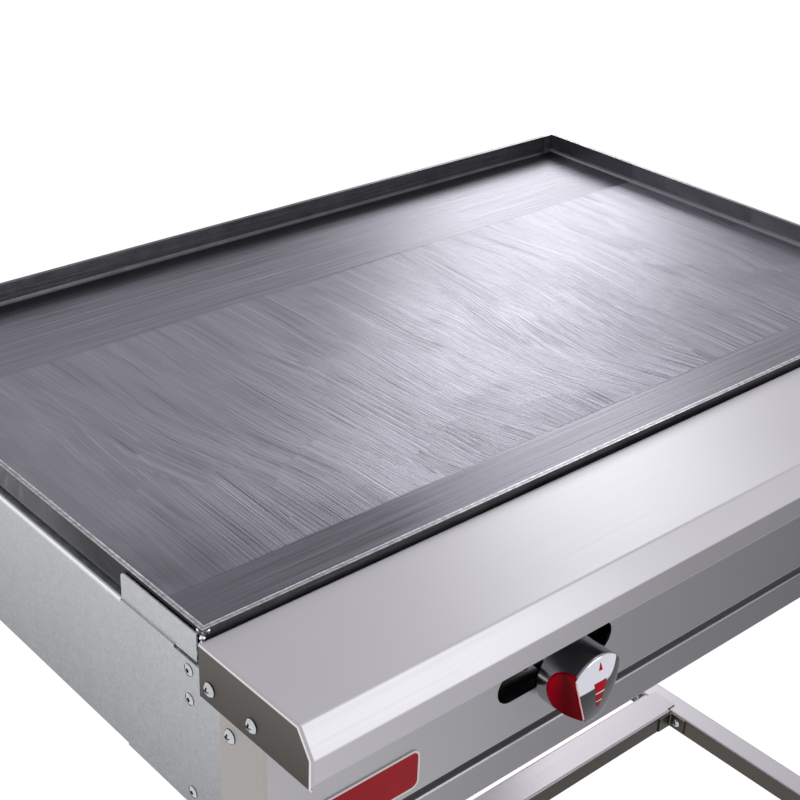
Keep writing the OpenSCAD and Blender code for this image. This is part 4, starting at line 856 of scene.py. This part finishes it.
# Thin white lines between the blocks of the level mark
LINES = [
    [(-4.4, -1.6), (4.6, -1.6), (4.9, -0.3), (-4.8, -0.3)],
    [(-2.4, -9.2), (3.0, -9.2), (3.3, -8.2), (-2.8, -8.2)],
]
for side, sign in (("left", -1), ("right", 1)):
    crown = bmesh.new()
    outline = CROWN + [(-px, pz) for px, pz in CROWN[-2:0:-1]]
    rings = [[crown.verts.new(on_knob(sign, px, pz, CROWN_FOOT)) for px, pz in outline]]
    for share, drop in RINGS:
        inset = [(px * share, pz * share) for px, pz in outline]
        rings.append([crown.verts.new(on_knob(
            sign, px, pz, crown_height(px, pz) - drop)) for px, pz in inset])
    for low, high in zip(rings, rings[1:]):
        for k in range(len(outline)):
            j = (k + 1) % len(outline)
            face = crown.faces.new((low[k], low[j], high[j], high[k]))
            scooped = (k if k < len(CROWN) else len(outline) - 1 - k) in SCOOPED
            # Faces round the scoops take the red of the inlay, and the edge of the left scoop the painted
            # highlight
            if scooped and low is rings[0]:
                face.material_index = 1
            elif scooped and k >= len(CROWN) and low in rings[1:3]:
                face.material_index = 2
    top = crown.verts.new(on_knob(sign, 0, 0, crown_height(0, 0)))
    for k in range(len(outline)):
        crown.faces.new((rings[-1][k], rings[-1][(k + 1) % len(outline)], top))
    crown.faces.new(rings[0][::-1])
    as_piece(f"knob_crown_{side}", crown, (chrome, red_inlay, painted_edge_highlight), f"knob_{side}")
    marks = bmesh.new()
    for index, shapes in enumerate((MARKS, LINES)):
        for corners in shapes:
            grid = []
            for v in range(PRINT_CELLS + 1):
                row = []
                for u in range(PRINT_CELLS + 1):
                    across, up = u / PRINT_CELLS, v / PRINT_CELLS
                    px, pz = (((1 - across) * a + across * b) * (1 - up) + (
                        (1 - across) * d + across * c) * up for a, b, c, d in zip(*corners))
                    row.append(marks.verts.new(on_knob(sign, px, pz, crown_height(px, pz) + PRINT_H)))
                grid.append(row)
            for low, high in zip(grid, grid[1:]):
                for u in range(PRINT_CELLS):
                    face = marks.faces.new((low[u], low[u + 1], high[u + 1], high[u]))
                    face.material_index = index
    marks = as_piece(f"knob_marks_{side}", marks, (red_inlay, white_print), f"knob_{side}", smooth=False)

# Studio
# A white room with a plain pale floor, a soft box behind the right of the plate, and a wide
# soft lamp in front. The floor shows white and keeps the object's shadow.


def seen_directly(tree):
    """1 for rays from the camera, and for those that metal and glass send on, or else 0."""
    rays = put(tree, "LightPath").node.outputs
    seen = put(tree, "Math", {0: rays["Is Camera Ray"], 1: rays["Is Glossy Ray"]}, operation="ADD")
    return put(tree, "Math", {0: seen, 1: rays["Is Transmission Ray"]}, operation="ADD", use_clamp=True)


world = bpy.data.worlds.new("studio")
bpy.context.scene.world = world
world.use_nodes = True
tree = world.node_tree
tree.nodes.clear()
strength = put(tree, "MapRange", {"Value": seen_directly(tree), "To Min": 0.55, "To Max": 1.0})
sky = put(tree, "Background", {"Color": linear("#ffffff"), "Strength": strength})
put(tree, "OutputWorld", {"Surface": sky})

white_floor = bpy.data.materials.new("white_studio_floor")
white_floor.use_nodes = True
tree = white_floor.node_tree
tree.nodes.clear()
glow_share = put(tree, "Math", {0: seen_directly(tree), 1: 0.85}, operation="MULTIPLY")
matt = put(tree, "BsdfDiffuse", {"Color": linear("#f2f2f2")})
glow = put(tree, "Emission", {"Color": linear("#ffffff"), "Strength": 1.13})
put(tree, "OutputMaterial", {"Surface": put(tree, "MixShader", {0: glow_share, 1: matt, 2: glow})})
ground = bmesh.new()
bmesh.ops.create_grid(ground, x_segments=2, y_segments=2, size=40)
ground_mesh = bpy.data.meshes.new("studio_floor")
ground.to_mesh(ground_mesh)
ground.free()
ground_mesh.materials.append(white_floor)
studio_floor = bpy.data.objects.new("studio_floor", ground_mesh)
bpy.context.scene.collection.objects.link(studio_floor)


def soft_lamp(name, at, aimed, width, height, watts):
    """Hangs a soft box: a plain white area lamp, aimed at a point of the object."""
    data = bpy.data.lights.new(name, "AREA")
    data.shape, data.size, data.size_y, data.energy = "RECTANGLE", width, height, watts
    lamp = bpy.data.objects.new(name, data)
    lamp.location = at
    lamp.rotation_euler = (Vector(aimed) - Vector(at)).to_track_quat("-Z", "Y").to_euler()
    lamp.visible_camera = False
    bpy.context.scene.collection.objects.link(lamp)


soft_lamp("rear_soft_box", (1.63, 1.43, 1.75), (0.12, 0.05, 0.88), 0.55, 0.8, 9.6)
soft_lamp("front_soft_box", (0.8, -2.2, 1.6), (-0.25, -0.3, 0.88), 1.1, 1.0, 10.4)

# The photograph's view: a long lens about a metre and a half away, in front and to the left
CAMERA_AT = (-0.89815, -0.91611, 1.50475)
TILT, LEAN, TURN = 61.6755, -1.9834, -41.1792
camera_data = bpy.data.cameras.new("photo_view")
camera_data.lens, camera_data.sensor_width = 70.62, 36
camera_data.clip_start, camera_data.clip_end = 0.05, 100
camera = bpy.data.objects.new("photo_view", camera_data)
camera.location = CAMERA_AT
camera.rotation_euler = [math.radians(angle) for angle in (TILT, LEAN, TURN)]
bpy.context.scene.collection.objects.link(camera)
bpy.context.scene.camera = camera
bpy.context.scene.view_settings.view_transform = "Standard"
